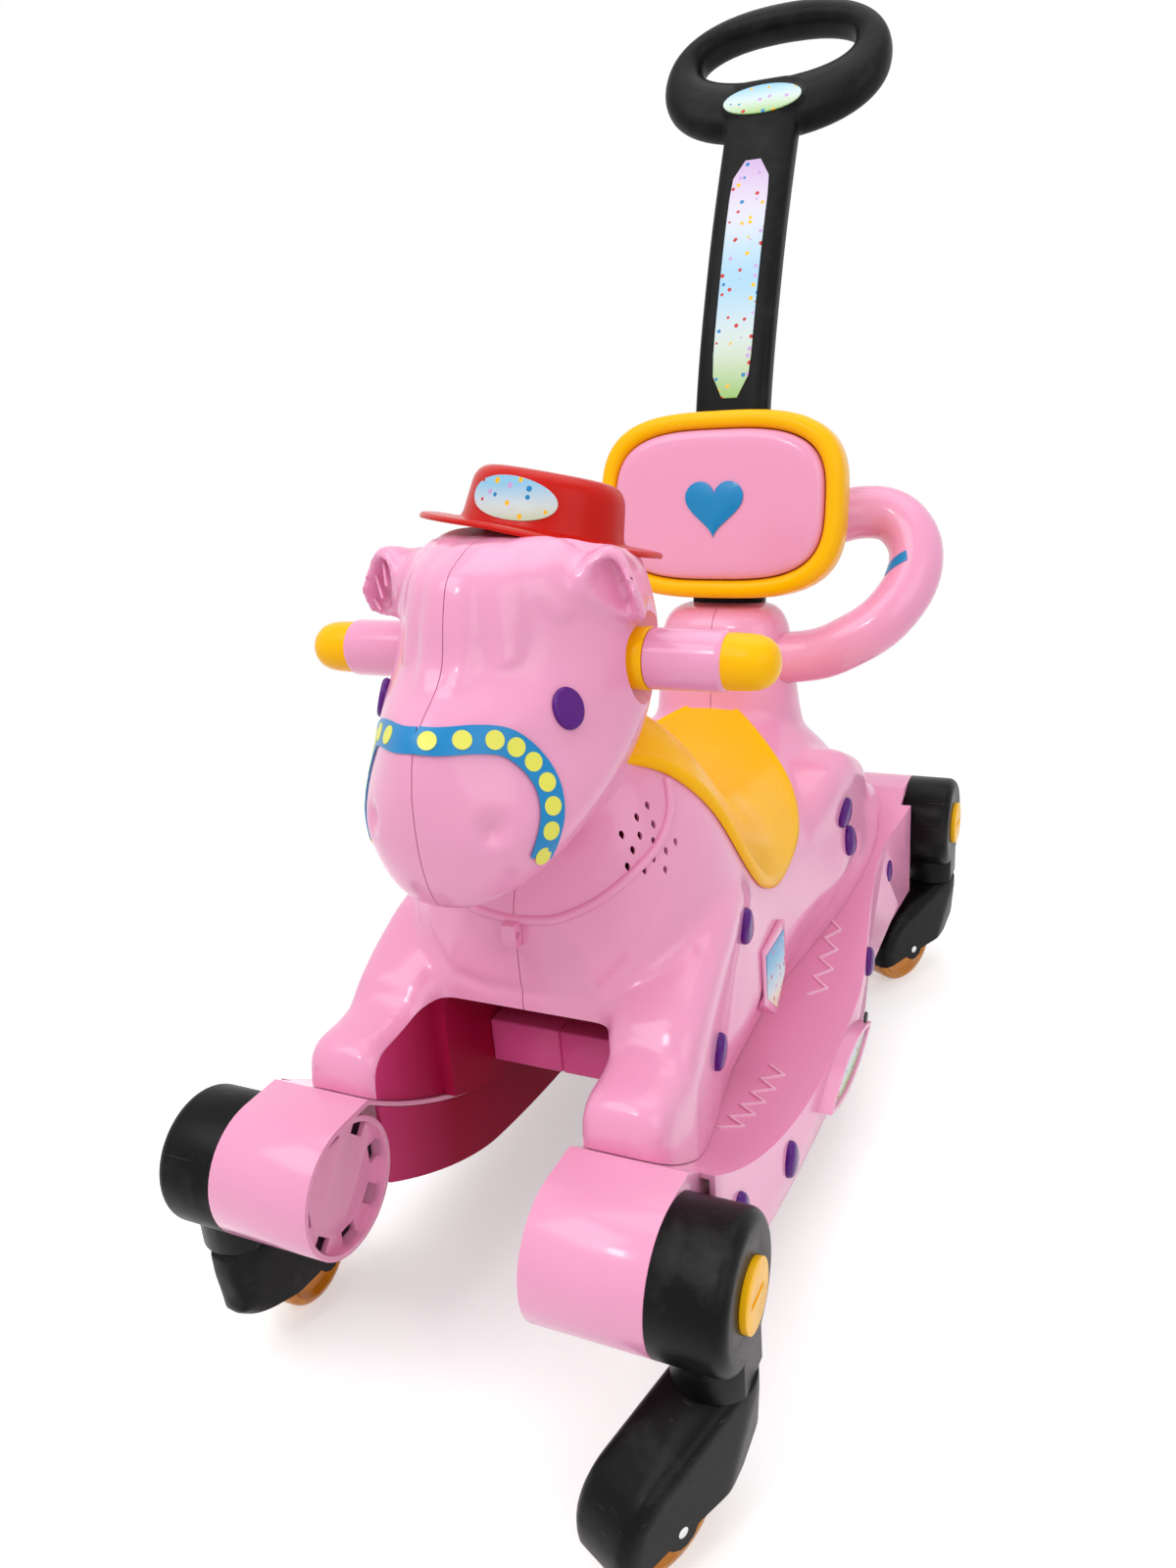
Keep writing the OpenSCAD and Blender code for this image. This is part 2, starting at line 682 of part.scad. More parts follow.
// Noseband: a thin strip that crosses the nose and turns down at the sides of the muzzle
band_w = 13;
band_t = 0.9;
band_shares = [0.545, 0.128];
band_top_z = head_z(band_shares[0]);
band_end_z = head_z(band_shares[1]);
band_turn = 62;
band_steps = 14;
band_corner_share = 0.74;
function band_turn_at(k) = band_turn * sign(k) * sin(90 * abs(k)) ^ band_corner_share;
function band_z(k) = band_end_z + (band_top_z - band_end_z) * cos(90 * k) ^ band_corner_share;
function band_point(k, lift, edge) =
    let (a = max(k - 1 / band_steps, -1), b = min(k + 1 / band_steps, 1))
    let (run = (band_turn_at(b) - band_turn_at(a)) * head_w * PI / 180, rise = band_z(b) - band_z(a))
    let (side = edge * band_w / 2 / norm([run, rise]))
    head_at(head_s(band_z(k) + side * run), band_turn_at(k) - side * rise / head_w * 180 / PI, lift);
module noseband() {
    color(BLUE) difference() {
        loft([for (i = [-band_steps:band_steps])
            let (k = i / band_steps, lift = gap + band_t)
            [for (q = [[-over, 1], [lift, 1], [lift, -1], [-over, -1]]) band_point(k, q[0], q[1])]]);
        head(gap / 2);
    }
}

// Raised spots
spot_w = 17;
spot_h = 24;
spot_t = 4;
rocker_spot_shares = [[-0.75, 0.5], [-0.43, 0.55], [0.43, 0.55], [0.75, 0.5]];
module drop(w, h, t, root = 0) {
    hull() for (end = [[0, w / 2], [h - w, w / 3]]) translate([0, end[0], 0]) {
        cylinder(r1 = end[1], r2 = end[1] - t / 2, h = t, $fn = 20);
        translate([0, 0, -root]) cylinder(r = end[1], h = over, $fn = 20);
    }
}
module rocker_spots() {
    color(PURPLE) for (side = [0, 1], p = rocker_spot_shares) mirror([side, 0, 0]) {
        y = p[0] * wheelbase / 2;
        low = runner_z + runner_r - sqrt(runner_r ^ 2 - y ^ 2);
        top = floor_z - sqrt(floor_r ^ 2 - y ^ 2);
        translate([rocker_x, y, low + (top - low) * p[1] - spot_w / 4]) rotate([90, 0, 90])
            drop(spot_w, spot_h, spot_t);
    }
}
spot_places = [[98, -104, 216, 4], [101, -160, 172, 8], [102, 126, 192, -6], [103, 132, 166, -8]];
module body_spots() {
    color(PURPLE) difference() {
        for (side = [0, 1], p = spot_places) mirror([side, 0, 0])
            translate([p[0], p[1], p[2]]) rotate([90, 0, 90 + p[3]]) drop(spot_w, spot_h, spot_t, spot_w);
        torso(gap / 2);
        for (side = [0, 1]) mirror([side, 0, 0]) {
            front_leg(gap / 2);
            rear_leg(gap / 2);
        }
    }
}

// Five sided plate on the flank
flank_plate = [46, 56];
flank_y = -45;
flank_z = 152;
flank_outline_shares = [[-0.5, 0.5], [0.5, 0.5], [0.5, -0.15], [0, -0.5], [-0.5, -0.15]];
module body_label(side) {
    x = torso_side((flank_y - chest_y) / body_len);
    color(PINK) difference() {
        mirror([side, 0, 0]) translate([x - flank_plate[0] / 2, flank_y, flank_z]) rotate([90, 0, 90])
            linear_extrude(flank_plate[0] / 2 + wall)
                polygon([for (p = flank_outline_shares) [p[0] * flank_plate[0], p[1] * flank_plate[1]]]);
        torso(gap / 2);
    }
}
module body_label_left() { body_label(0); }
module body_label_right() { body_label(1); }

// Backrest

rest_y = hump_y - 2;
rest_z = hump_top_z + 73;
rest_lean = -12;
rest_t = 26;
rim = 13;
rest_power_share = 3.2;
function rounded(w, h, power, n) = [for (j = [0:n - 1]) let (a = 360 * j / n)
    [w * sign(cos(a)) * abs(cos(a)) ^ (2 / power), h * sign(sin(a)) * abs(sin(a)) ^ (2 / power)]];
module rest_frame() {
    translate([0, rest_y, rest_z]) rotate([rest_lean, 0, 0]) rotate([90, 0, 0]) children();
}
module rest_frame_back() {
    rotate([-90, 0, 0]) rotate([-rest_lean, 0, 0]) translate([0, -rest_y, -rest_z]) children();
}
module pillow(w, h, t, edge) {
    hull() {
        linear_extrude(t - edge) polygon(rounded(w, h, rest_power_share, 48));
        linear_extrude(t) polygon(rounded(w - edge, h - edge, rest_power_share, 48));
    }
}
module backrest_frame() {
    color(YELLOW) rest_frame() difference() {
        translate([0, 0, -rest_t / 2]) pillow(backrest_w / 2, backrest_h / 2, rest_t, 2 * wall);
        translate([0, 0, -rest_t / 2 + wall])
            linear_extrude(rest_t)
                polygon(rounded(backrest_w / 2 - rim, backrest_h / 2 - rim, rest_power_share, 48));
        rest_frame_back() push_blade(gap / 2);
    }
}
module backrest_panel() {
    color(PINK) rest_frame() translate([0, 0, -rest_t / 2 + wall])
        pillow(backrest_w / 2 - rim - gap, backrest_h / 2 - rim - gap, rest_t - wall + plate_t, wall);
}
// Heart outline by the usual sum of cosines, in shares of its half width
heart_w = 22;
heart_shares = [13 / 16, 5 / 16, 2 / 16, 1 / 16];
function heart(a) = [sin(a) ^ 3, heart_shares[0] * cos(a) - heart_shares[1] * cos(2 * a)
    - heart_shares[2] * cos(3 * a) - heart_shares[3] * cos(4 * a)];
module backrest_heart() {
    color(BLUE) rest_frame() translate([0, 0, rest_t / 2 + plate_t]) linear_extrude(plate_t)
        polygon([for (a = [4:8:356]) heart_w * heart(a)]);
}

// Guard rail, one tube on each side of the seat
// Places on the rail as shares of its reach to the side, to the back and up from the hump
rail_reach = [135, 45, 60];
rail_shares = [[0.459, 0.533, 0.9], [0.681, 0.933, 1], [0.867, 1, 0.933], [0.993, 0.778, 0.633],
    [1, 0.4, 0.233], [0.881, 0, -0.167], [0.696, -0.178, -0.433], [0.519, -0.133, -0.6]];
rail_points = [for (p = rail_shares)
    [p[0] * rail_reach[0], hump_y + p[1] * rail_reach[1], hump_top_z + p[2] * rail_reach[2]]];
function on_path(p, u) = [for (k = [0:2]) ease([for (i = [0:len(p) - 1]) [i / (len(p) - 1), p[i][k]]], u)];
rail_steps = 16;
module guard_rail_left() {
    color(PINK) difference() {
        sweep([for (i = [0:rail_steps]) on_path(rail_points, i / rail_steps)], [0, 0, 1], rail_r, rail_r, 14);
        hump(gap);
        rest_frame() translate([0, 0, -rest_t / 2 - gap]) linear_extrude(rest_t + 2 * gap)
            square([backrest_w, backrest_h], center = true);
        push_blade(gap);
    }
}
module guard_rail_right() { mirror([1, 0, 0]) guard_rail_left(); }

// Push bar: a flat blade that leans back and ends in an oval loop
// Places on the blade as shares of its lean back and its rise from the hump
push_lean = 148;
push_rise = 450;
push_foot_z = 250;
push_shares = [[0.04, 0], [0.08, 0.207], [0.23, 0.489], [0.507, 0.722], [0.838, 0.922], [1, 1]];
push_points = [for (p = push_shares) [0, hump_y + p[0] * push_lean, push_foot_z + p[1] * push_rise]];
push_steps = 16;
loop_lean = -38;
loop_p = push_points[len(push_points) - 1] + [0, 16, 12];
module push_blade(grow) {
    sweep([for (i = [0:push_steps]) on_path(push_points, i / push_steps)], [1, 0, 0],
        blade_w / 2 + grow, blade_t / 2 + grow, 24, 4);
}
module push_slot() { push_blade(gap); }
module loop_frame() { translate(loop_p) rotate([loop_lean, 0, 0]) rotate([90, 0, 0]) children(); }
oval_w = 60;
oval_h = 26;
// Height of the hand hole as a share of the height inside the tube
hand_share = 1.5;
module oval_place() { translate([0, -loop_h / 2 + loop_r + oval_h / 4, 0]) children(); }
module push_bar() {
    a = loop_w / 2 - loop_r;
    b = loop_h / 2 - loop_r;
    color(BLACK) {
        push_blade(0);
        loop_frame() difference() {
            hull() for (k = [0:19]) translate([a * cos(18 * k), b * sin(18 * k), 0])
                sphere(loop_r, $fn = 12);
            translate([0, loop_r, -loop_r - over])
                resize([2 * (a - loop_r), hand_share * (b - loop_r), 2 * loop_r + 2 * over])
                cylinder(r = a, h = 2 * loop_r + 2 * over, $fn = 40);
        }
        loop_frame() oval_place() linear_extrude(loop_r + wall / 2)
            polygon(rounded(oval_w / 2 + gap, oval_h / 2 + gap, 2, 32));
    }
}
strip_w = 29;
strip_from_share = 0.42;
strip_to_share = 0.74;
strip_steps = 12;
// Rounding of the ends of the strip
strip_end_power_share = 12;
strip_end_share = 0.6;
// Long rounded plate that follows the front of the blade
module push_bar_strip() {
    color(PALE) loft([for (i = [0:strip_steps])
        let (u = strip_from_share + (strip_to_share - strip_from_share) * i / strip_steps)
        let (p = on_path(push_points, u), q = on_path(push_points, u + over / push_points[1][2]))
        let (n = unit(cross([1, 0, 0], q - p)), end = 2 * i / strip_steps - 1)
        let (w = strip_w / 2 * (1 - abs(end) ^ strip_end_power_share * strip_end_share))
        [for (c = [[-w, 0], [w, 0], [w, plate_t], [-w, plate_t]])
            p + [c[0], 0, 0] + n * (blade_t / 2 + gap / 4 + c[1])]]);
}
module push_bar_oval() {
    color(PALE) loop_frame() oval_place() translate([0, 0, loop_r + wall / 2 + gap / 4])
        linear_extrude(plate_t) polygon(rounded(oval_w / 2, oval_h / 2, 2, 32));
}

// Eye on the chest for a pull cord
module pull_eye() {
    color(PINK) translate([0, chest_y - lug_w / 2 - gap / 2, lug_z]) difference() {
        cube([lug_w, lug_w, lug_h], center = true);
        rotate([0, 90, 0]) cylinder(r = lug_bore_r, h = 2 * lug_w, center = true);
    }
}

// Sound unit
module speaker() {
    color(BLACK) translate(speaker_p) rotate(speaker_turn)
        cylinder(r = speaker_r, h = speaker_h, center = true);
}
box_size = [70, 96, 40];
// Middle of the battery box along the body
box_share = 0.43;
module battery_box() {
    top = back_z - 2 * wall - gap;
    color(BLACK) translate([-box_size[0] / 2, torso_y(box_share) - box_size[1] / 2, top - box_size[2]])
        cube(box_size);
}

// Legs

// Each leg is [side, end, swivel of the fork]
LEGS = [[1, -1, -26], [-1, -1, 181], [1, 1, -30], [-1, 1, 22]];
hub_out_x = 157;
leg_x = 139;
hub_round = 7;
column_r = 22;
stem_len = 28;
cap_disc_r = 17;
cap_disc_t = 5;
hook_w = 9;
module leg_place(leg) {
    translate([0, leg[1] * wheelbase / 2, drum_z]) mirror([leg[0] < 0 ? 1 : 0, 0, 0]) children();
}
module hub(leg) {
    color(BLACK) leg_place(leg) difference() {
        union() {
            translate([drum_out_x + gap, 0, 0]) rotate([90, 0, 90]) rotate_extrude() {
                square([drum_r - hub_round, hub_out_x - drum_out_x - gap]);
                square([drum_r, hub_out_x - drum_out_x - gap - hub_round]);
                translate([drum_r - hub_round, hub_out_x - drum_out_x - gap - hub_round]) circle(hub_round);
            }
            intersection() {
                translate([leg_x, 0, ankle_z - drum_z]) cylinder(r = column_r, h = drum_z - ankle_z);
                translate([drum_out_x + gap, -drum_r, -drum_z])
                    cube([hub_out_x - drum_out_x - gap, 2 * drum_r, drum_z]);
            }
            translate([rib_x - wall, 0, 0]) rotate([90, 0, 90])
                cylinder(r = rib_r - fit, h = drum_out_x - rib_x + 2 * wall);
            for (k = [0:3]) rotate([90 * k, 0, 0])
                translate([web_x + wall + gap, -hook_w / 2, notch_r + gap])
                    cube([rib_x - web_x - wall - 2 * gap, hook_w, drum_r - wall - notch_r - 3 * gap]);
        }
        translate([leg_x, 0, ankle_z - drum_z - over]) cylinder(r = stem_r + fit, h = stem_len + over);
        translate([hub_out_x - cap_disc_t, 0, 0]) rotate([0, 90, 0])
            cylinder(r = cap_disc_r + gap, h = cap_disc_t + over);
    }
}
module hub_cap(leg) {
    color(YELLOW) leg_place(leg) translate([hub_out_x - cap_disc_t, 0, 0]) rotate([90, 0, 90]) difference() {
        cylinder(r = cap_disc_r, h = cap_disc_t + wall);
        translate([-cap_disc_r / 2, -wall / 2, cap_disc_t + wall / 2]) cube([cap_disc_r, wall, 2 * wall]);
    }
}

// Things on a caster are drawn with the swivel axis on z and the toe towards -Y
module caster(leg) {
    translate([leg[0] * leg_x, leg[1] * wheelbase / 2, 0]) rotate(leg[2]) children();
}
fork_w = 39;
shoe_r = 35;
shoe_round = 8;
heel_y = 21;
heel_z = 33;
// Clearance of a wheel in its fork, wall of its tread and radius of its boss
wheel_gap = 1.5;
tread_t = 5;
boss_share = 2.4;
module fork(leg) {
    color(BLACK) caster(leg) difference() {
        hull() {
            translate([0, 0, ankle_z - gap - 3 * wall]) cylinder(r = heel_y - wall / 2, h = 3 * wall, $fn = 28);
            translate([0, heel_y - 4 * wall, heel_z + 4 * wall]) sphere(4 * wall, $fn = 16);
            translate([0, -trail, wheel_r]) rotate([0, 90, 0]) for (k = [-1, 1])
                translate([0, 0, k * (fork_w / 2 - shoe_round)]) rotate_extrude($fn = 28)
                    translate([shoe_r - shoe_round, 0]) circle(shoe_round, $fn = 12);
        }
        translate([0, -trail, wheel_r]) rotate([0, 90, 0]) {
            cylinder(r = wheel_r + wheel_gap, h = wheel_w + wheel_gap, center = true);
            cylinder(r = axle_r + fit, h = 2 * fork_w, center = true);
        }
        // Cut away below the shoe edge, but for the lobes round the axle
        difference() {
            translate([-fork_w, -2 * trail - shoe_r, -shoe_r])
                cube([2 * fork_w, 2 * trail + 2 * shoe_r, wheel_r + shoe_r]);
            translate([0, -trail, wheel_r]) rotate([0, 90, 0])
                cylinder(r = 3 * axle_r, h = 2 * fork_w, center = true);
        }
        translate([0, 0, heel_z + 4 * wall]) cylinder(r = stem_r + fit, h = ankle_z);
    }
}
module stem(leg) {
    color(STEEL) caster(leg) translate([0, 0, heel_z + 4 * wall])
        cylinder(r = stem_r, h = ankle_z - heel_z - 4 * wall + stem_len - over);
}
module wheel(leg) {
    color(AMBER) caster(leg) translate([0, -trail, wheel_r]) rotate([0, 90, 0]) difference() {
        rotate_extrude() difference() {
            translate([axle_r + fit, -wheel_w / 2]) square([wheel_r - axle_r - fit, wheel_w]);
            for (k = [-1, 1]) translate([boss_share * axle_r, k * wheel_w / 2 - wheel_w / 4])
                square([wheel_r - boss_share * axle_r - tread_t, wheel_w / 2]);
        }
    }
}
module axle(leg) {
    color(STEEL) caster(leg) translate([0, -trail, wheel_r]) rotate([0, 90, 0])
        cylinder(r = axle_r, h = fork_w, center = true);
}

module placed() { translate([0, datum_y, 0]) children(); }
names = ["front_left", "front_right", "rear_left", "rear_right"];

placed() {
    body_left();
    body_right();
    saddle();
    rocker_left();
    rocker_right();
    cross_bar();
    hat();
    hat_label();
    handlebar();
    grip_left();
    grip_right();
    bar_cap_left();
    bar_cap_right();
    eye_left();
    eye_right();
    noseband();
    body_spots();
    rocker_spots();
    rocker_label();  // rocker_label_left
    mirror([1, 0, 0]) rocker_label();  // rocker_label_right
    body_label_left();
    body_label_right();
    backrest_frame();
    backrest_panel();
    backrest_heart();
    guard_rail_left();
    guard_rail_right();
    push_bar();
    push_bar_strip();
    push_bar_oval();
    speaker();
    battery_box();
    pull_eye();
    for (i = [0:3]) {
        hub(LEGS[i]);
        hub_cap(LEGS[i]);
        fork(LEGS[i]);
        stem(LEGS[i]);
        wheel(LEGS[i]);
        axle(LEGS[i]);
    }
}
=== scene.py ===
"""Looks of a ride on rocking horse with fold up caster legs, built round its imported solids."""

import json
import math

import bmesh
import bpy
import numpy as np
from mathutils import Matrix, Vector
from mathutils.bvhtree import BVHTree


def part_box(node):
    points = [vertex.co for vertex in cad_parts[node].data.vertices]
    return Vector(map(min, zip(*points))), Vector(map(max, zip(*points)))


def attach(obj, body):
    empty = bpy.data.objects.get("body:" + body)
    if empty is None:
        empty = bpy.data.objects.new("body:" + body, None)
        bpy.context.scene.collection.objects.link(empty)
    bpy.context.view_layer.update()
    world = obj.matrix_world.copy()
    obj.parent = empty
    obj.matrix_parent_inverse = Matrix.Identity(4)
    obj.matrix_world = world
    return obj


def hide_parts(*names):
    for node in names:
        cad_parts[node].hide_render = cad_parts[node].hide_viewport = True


bl_info = {
    "name": "Ride on rocking horse",
    "version": (1, 0, 0),
    "blender": (4, 5, 0),
    "location": "View3D > Sidebar > Horse",
    "description": "Builds the shell, trim, legs and stage of a ride on rocking horse",
    "category": "Object",
}

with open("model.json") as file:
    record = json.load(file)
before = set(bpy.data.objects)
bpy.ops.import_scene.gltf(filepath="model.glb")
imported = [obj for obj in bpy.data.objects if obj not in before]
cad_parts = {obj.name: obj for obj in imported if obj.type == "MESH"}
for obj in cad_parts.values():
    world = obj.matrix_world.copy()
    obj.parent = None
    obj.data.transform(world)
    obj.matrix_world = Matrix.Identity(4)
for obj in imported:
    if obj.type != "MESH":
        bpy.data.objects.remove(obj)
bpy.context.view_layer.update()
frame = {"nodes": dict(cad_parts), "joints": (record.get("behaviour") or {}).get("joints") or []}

MM = 0.001
# The rockers are even about the middle of the wheelbase, which the drawing sizes count from
ROCKER_LOW, ROCKER_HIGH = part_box("rocker_left")
MIDDLE_Y = (ROCKER_LOW.y + ROCKER_HIGH.y) / 2
LEGS = ("front_left", "front_right", "rear_left", "rear_right")
JOINTS = {joint["name"]: joint for joint in frame["joints"]}


# Sizes and colours


def measure(name, about, millimetres):
    """A length property with its default in millimetres."""
    return bpy.props.FloatProperty(name=name, description=about, default=millimetres * MM, unit="LENGTH")


class HorseSizes(bpy.types.PropertyGroup):
    """Sizes of the looks that a user may change."""

    shell_voxel: measure("Shell grid", "Grid that blends the shell's forms", 2.7)
    shell_wall: measure("Shell wall", "Wall of the two shell halves", 3)
    seam_gap: measure("Seam gap", "Gap between the shell halves", 0.5)
    saddle_thick: measure("Saddle thickness", "Thickness of the saddle", 3.4)
    saddle_rim: measure("Saddle rim", "Height of the rim along the saddle's edge", 1.6)
    band_width: measure("Noseband width", "Width of the noseband", 13)
    dot_radius: measure("Dot radius", "Radius of a dot on the noseband", 4.5)
    bead_radius: measure("Collar bead radius", "Radius of the bead round the neck", 2.6)


def colour(name, about, value):
    """A colour property with its default in linear light."""
    return bpy.props.FloatVectorProperty(
        name=name, description=about, subtype="COLOR", size=3, min=0, max=1, default=value)


def linear(code):
    """Linear light of a colour that is written as a hex code."""
    parts = [int(code[i:i + 2], 16) / 255 for i in (0, 2, 4)]
    return tuple(c / 12.92 if c <= 0.04045 else ((c + 0.055) / 1.055) ** 2.4 for c in parts)


class HorseColours(bpy.types.PropertyGroup):
    """Colours of the mouldings and films."""

    pink: colour("Pink", "Shell and rockers", linear("ef9fc4"))
    # Painted shade: the deep pink stands for the dim, shaded inner faces of the shell and rockers.
    inside: colour("Deep pink", "Inner faces of the shell and rockers", linear("a80a3c"))
    # Hot pink is also the painted light at the open front of the deep pink inner walls.
    hot_pink: colour("Hot pink", "Cross bar", linear("e85a9c"))
    # A painted highlight, paler than the pink, for the tops of the tray ribs.
    rib_highlight_pink: colour("Rib highlight pink", "Tops of the tray ribs", linear("f9c9df"))
    yellow: colour("Yellow", "Saddle, backrest rim and caps", linear("ffbe00"))
    red: colour("Red", "Hat", linear("c4180f"))
    purple: colour("Purple", "Spots and eyes", linear("58147c"))
    blue: colour("Blue", "Noseband and heart", linear("0f84c2"))
    black: colour("Black", "Legs and push bar", linear("070707"))
    amber: colour("Amber", "Wheels", linear("f09a1e"))
    lemon: colour("Lemon", "Dots on the noseband", linear("e6e35a"))
    steel: colour("Steel", "Pins", linear("b9bcbe"))
    cream: colour("Cream", "Ground of the film plates", linear("f3ecd6"))
    leaf: colour("Leaf green", "Bands on the film plates", linear("7fbf3f"))
    sky: colour("Sky blue", "Bands on the film plates", linear("6fc3ea"))
    lilac: colour("Lilac", "Bands on the film plates", linear("c9a3dc"))


def sizes():
    return bpy.context.scene.horse_sizes


def colours():
    return bpy.context.scene.horse_colours


# Mesh helpers


def placed(points):
    """Drawing sizes in millimetres, from the middle of the wheelbase, as places in metres."""
    out = np.array(points, float).reshape(-1, 3) * MM
    out[:, 1] += MIDDLE_Y
    return out


def drawn(points):
    """Places in metres as drawing sizes in millimetres."""
    out = np.array(points, float).reshape(-1, 3)
    out[:, 1] -= MIDDLE_Y
    return out / MM


def through(table, u):
    """Smooth curve through [place, value] pairs, flat at its ends."""
    table = np.array(table, float)
    x, y = table[:, 0], table[:, 1]
    slope = np.zeros(len(x))
    slope[1:-1] = (y[2:] - y[:-2]) / (x[2:] - x[:-2])
    u = np.clip(np.asarray(u, float), x[0], x[-1])
    i = np.clip(np.searchsorted(x, u, side="right") - 1, 0, len(x) - 2)
    d = x[i + 1] - x[i]
    k = (u - x[i]) / d
    return ((2 * k ** 3 - 3 * k ** 2 + 1) * y[i] + (k ** 3 - 2 * k ** 2 + k) * d * slope[i]
            + (3 * k ** 2 - 2 * k ** 3) * y[i + 1] + (k ** 3 - k ** 2) * d * slope[i + 1])


def along(points, count):
    """Evenly counted places on a smooth path through points."""
    points = np.array(points, float)
    knots = np.linspace(0, 1, len(points))
    steps = np.linspace(0, 1, count)
    return np.stack([through(np.stack([knots, points[:, a]], 1), steps) for a in range(points.shape[1])], 1)


def power(value, exponent):
    """Signed power, for rounded outlines."""
    return np.sign(value) * np.abs(value) ** exponent


def outline(half_w, half_h, exponent, count):
    """Points of a rounded outline, between an ellipse at 2 and a rectangle."""
    a = np.linspace(0, 2 * np.pi, count, endpoint=False)
    return np.stack([half_w * power(np.cos(a), 2 / exponent), half_h * power(np.sin(a), 2 / exponent)], 1)


def loft(rings, ends=True):
    """Points and faces through rings of equally many points."""
    rings = np.array(rings, float)
    m, n = rings.shape[:2]
    faces = [(i * n + j, i * n + (j + 1) % n, (i + 1) * n + (j + 1) % n, (i + 1) * n + j)
             for i in range(m - 1) for j in range(n)]
    if ends:
        faces += [tuple(range(n - 1, -1, -1)), tuple(range((m - 1) * n, m * n))]
    return rings.reshape(-1, 3), faces


def sweep(path, section, side):
    """Points and faces of a flat section that is carried along a path with one side direction."""
    path = np.array(path, float)
    tangent = np.gradient(path, axis=0)
    tangent /= np.linalg.norm(tangent, axis=1)[:, None]
    rings = []
    for p, t in zip(path, tangent):
        b = np.cross(t, side)
        b /= np.linalg.norm(b)
        a = np.cross(b, t)
        rings.append([p + a * q[0] + b * q[1] for q in section])
    return loft(rings)


def lathe(profile, count=64):
    """Points and faces of a [radius, height] profile turned about z, with its two ends closed."""
    profile = np.array(profile, float)
    a = np.linspace(0, 2 * np.pi, count, endpoint=False)
    rings = [[(r * np.cos(t), r * np.sin(t), z) for t in a] for r, z in profile]
    return loft(rings)


def ball(centre, radii, count=24):
    """Points and faces of a rounded lump."""
    a = np.linspace(0.02, np.pi - 0.02, count)
    points, faces = lathe(np.stack([np.sin(a), np.cos(a)], 1), count)
    return points * np.array(radii) + np.array(centre), faces


def joined(parts):
    """One list of points and faces out of several."""
    points, faces, start = [], [], 0
    for part_points, part_faces in parts:
        points.append(np.array(part_points, float))
        faces += [tuple(i + start for i in face) for face in part_faces]
        start += len(part_points)
    return np.concatenate(points), faces


def mirrored(part):
    """The same part on the other side."""
    points, faces = part
    return np.array(points, float) * (-1, 1, 1), [tuple(reversed(face)) for face in faces]


def stand(name, data):
    """A new object in the scene."""
    obj = bpy.data.objects.new(name, data)
    bpy.context.scene.collection.objects.link(obj)
    return obj


def piece(name, part, to_frame=True, marks=None):
    """A new mesh object from points and faces, with its faces turned outwards."""
    points, faces = part
    mesh = bpy.data.meshes.new(name)
    mesh.from_pydata([tuple(p) for p in (placed(points) if to_frame else points)], [], faces)
    if marks:
        mesh.polygons.foreach_set("material_index", marks)
    bm = bmesh.new()
    bm.from_mesh(mesh)
    bmesh.ops.remove_doubles(bm, verts=bm.verts, dist=1e-6)
    bmesh.ops.recalc_face_normals(bm, faces=bm.faces)
    bm.to_mesh(mesh)
    bm.free()
    return stand(name, mesh)


def baked(obj):
    """Turns an object's modifiers into plain mesh."""
    bpy.context.view_layer.update()
    graph = bpy.context.evaluated_depsgraph_get()
    mesh = bpy.data.meshes.new_from_object(obj.evaluated_get(graph), depsgraph=graph)
    old = obj.data
    obj.modifiers.clear()
    obj.data = mesh
    bpy.data.meshes.remove(old)
    return obj


def blended(obj, voxel, rounds):
    """Unites overlapping closed forms and smooths their joins."""
    grid = obj.modifiers.new("grid", "REMESH")
    grid.mode = "VOXEL"
    grid.voxel_size = voxel
    return softened(obj, rounds)


def softened(obj, rounds):
    """Smooths a mesh by a number of rounds."""
    soft = obj.modifiers.new("soft", "SMOOTH")
    soft.factor = 0.5
    soft.iterations = rounds
    return baked(obj)


def cut(obj, taken):
    """Takes another object's form away and removes that object."""
    step = obj.modifiers.new("cut", "BOOLEAN")
    step.operation = "DIFFERENCE"
    step.solver = "MANIFOLD"
    step.object = taken
    step.material_mode = "TRANSFER"
    baked(obj)
    bpy.data.objects.remove(taken)
    return obj


def smooth_shaded(obj, angle=38):
    """Smooth faces with sharp edges kept."""
    obj.data.shade_smooth()
    obj.data.set_sharp_from_angle(angle=math.radians(angle))
    return obj


def settle(obj, material, body, slot, *nodes):
    """Gives a finished piece its material and its body, and hides the solids that it stands for. Its slot is
    not used.
    """
    if material is not None:
        obj.data.materials.clear()
        obj.data.materials.append(material)
    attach(obj, body)
    if nodes:
        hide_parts(*nodes)
    return obj


def hull_part(points):
    """Points and faces of the tight skin round a cloud of points."""
    bm = bmesh.new()
    for p in points:
        bm.verts.new(p)
    bmesh.ops.convex_hull(bm, input=bm.verts)
    bmesh.ops.delete(bm, geom=[v for v in bm.verts if not v.link_faces], context="VERTS")
    bm.verts.index_update()
    skin = np.array([v.co[:] for v in bm.verts]), [tuple(v.index for v in f.verts) for f in bm.faces]
    bm.free()
    return skin


def rounded_copy(node, width, material, slot, body="horse", angle=30):
    """A copy of a solid with merged points and rounded edges, which stands for it."""
    bm = bmesh.new()
    bm.from_mesh(frame["nodes"][node].data)
    bmesh.ops.remove_doubles(bm, verts=bm.verts, dist=1e-6)
    bmesh.ops.dissolve_limit(bm, angle_limit=math.radians(0.6), verts=bm.verts, edges=bm.edges)
    mesh = bpy.data.meshes.new(node + "_look")
    bm.to_mesh(mesh)
    bm.free()
    obj = stand(node + "_look", mesh)
    if width > 0:
        bevel = obj.modifiers.new("rounding", "BEVEL")
        bevel.width = width
        bevel.segments = 2
        bevel.limit_method = "ANGLE"
        bevel.angle_limit = math.radians(angle)
        bevel.use_clamp_overlap = True
        baked(obj)
    smooth_shaded(obj)
    return settle(obj, material, body, slot, node)


# Shader groups and materials


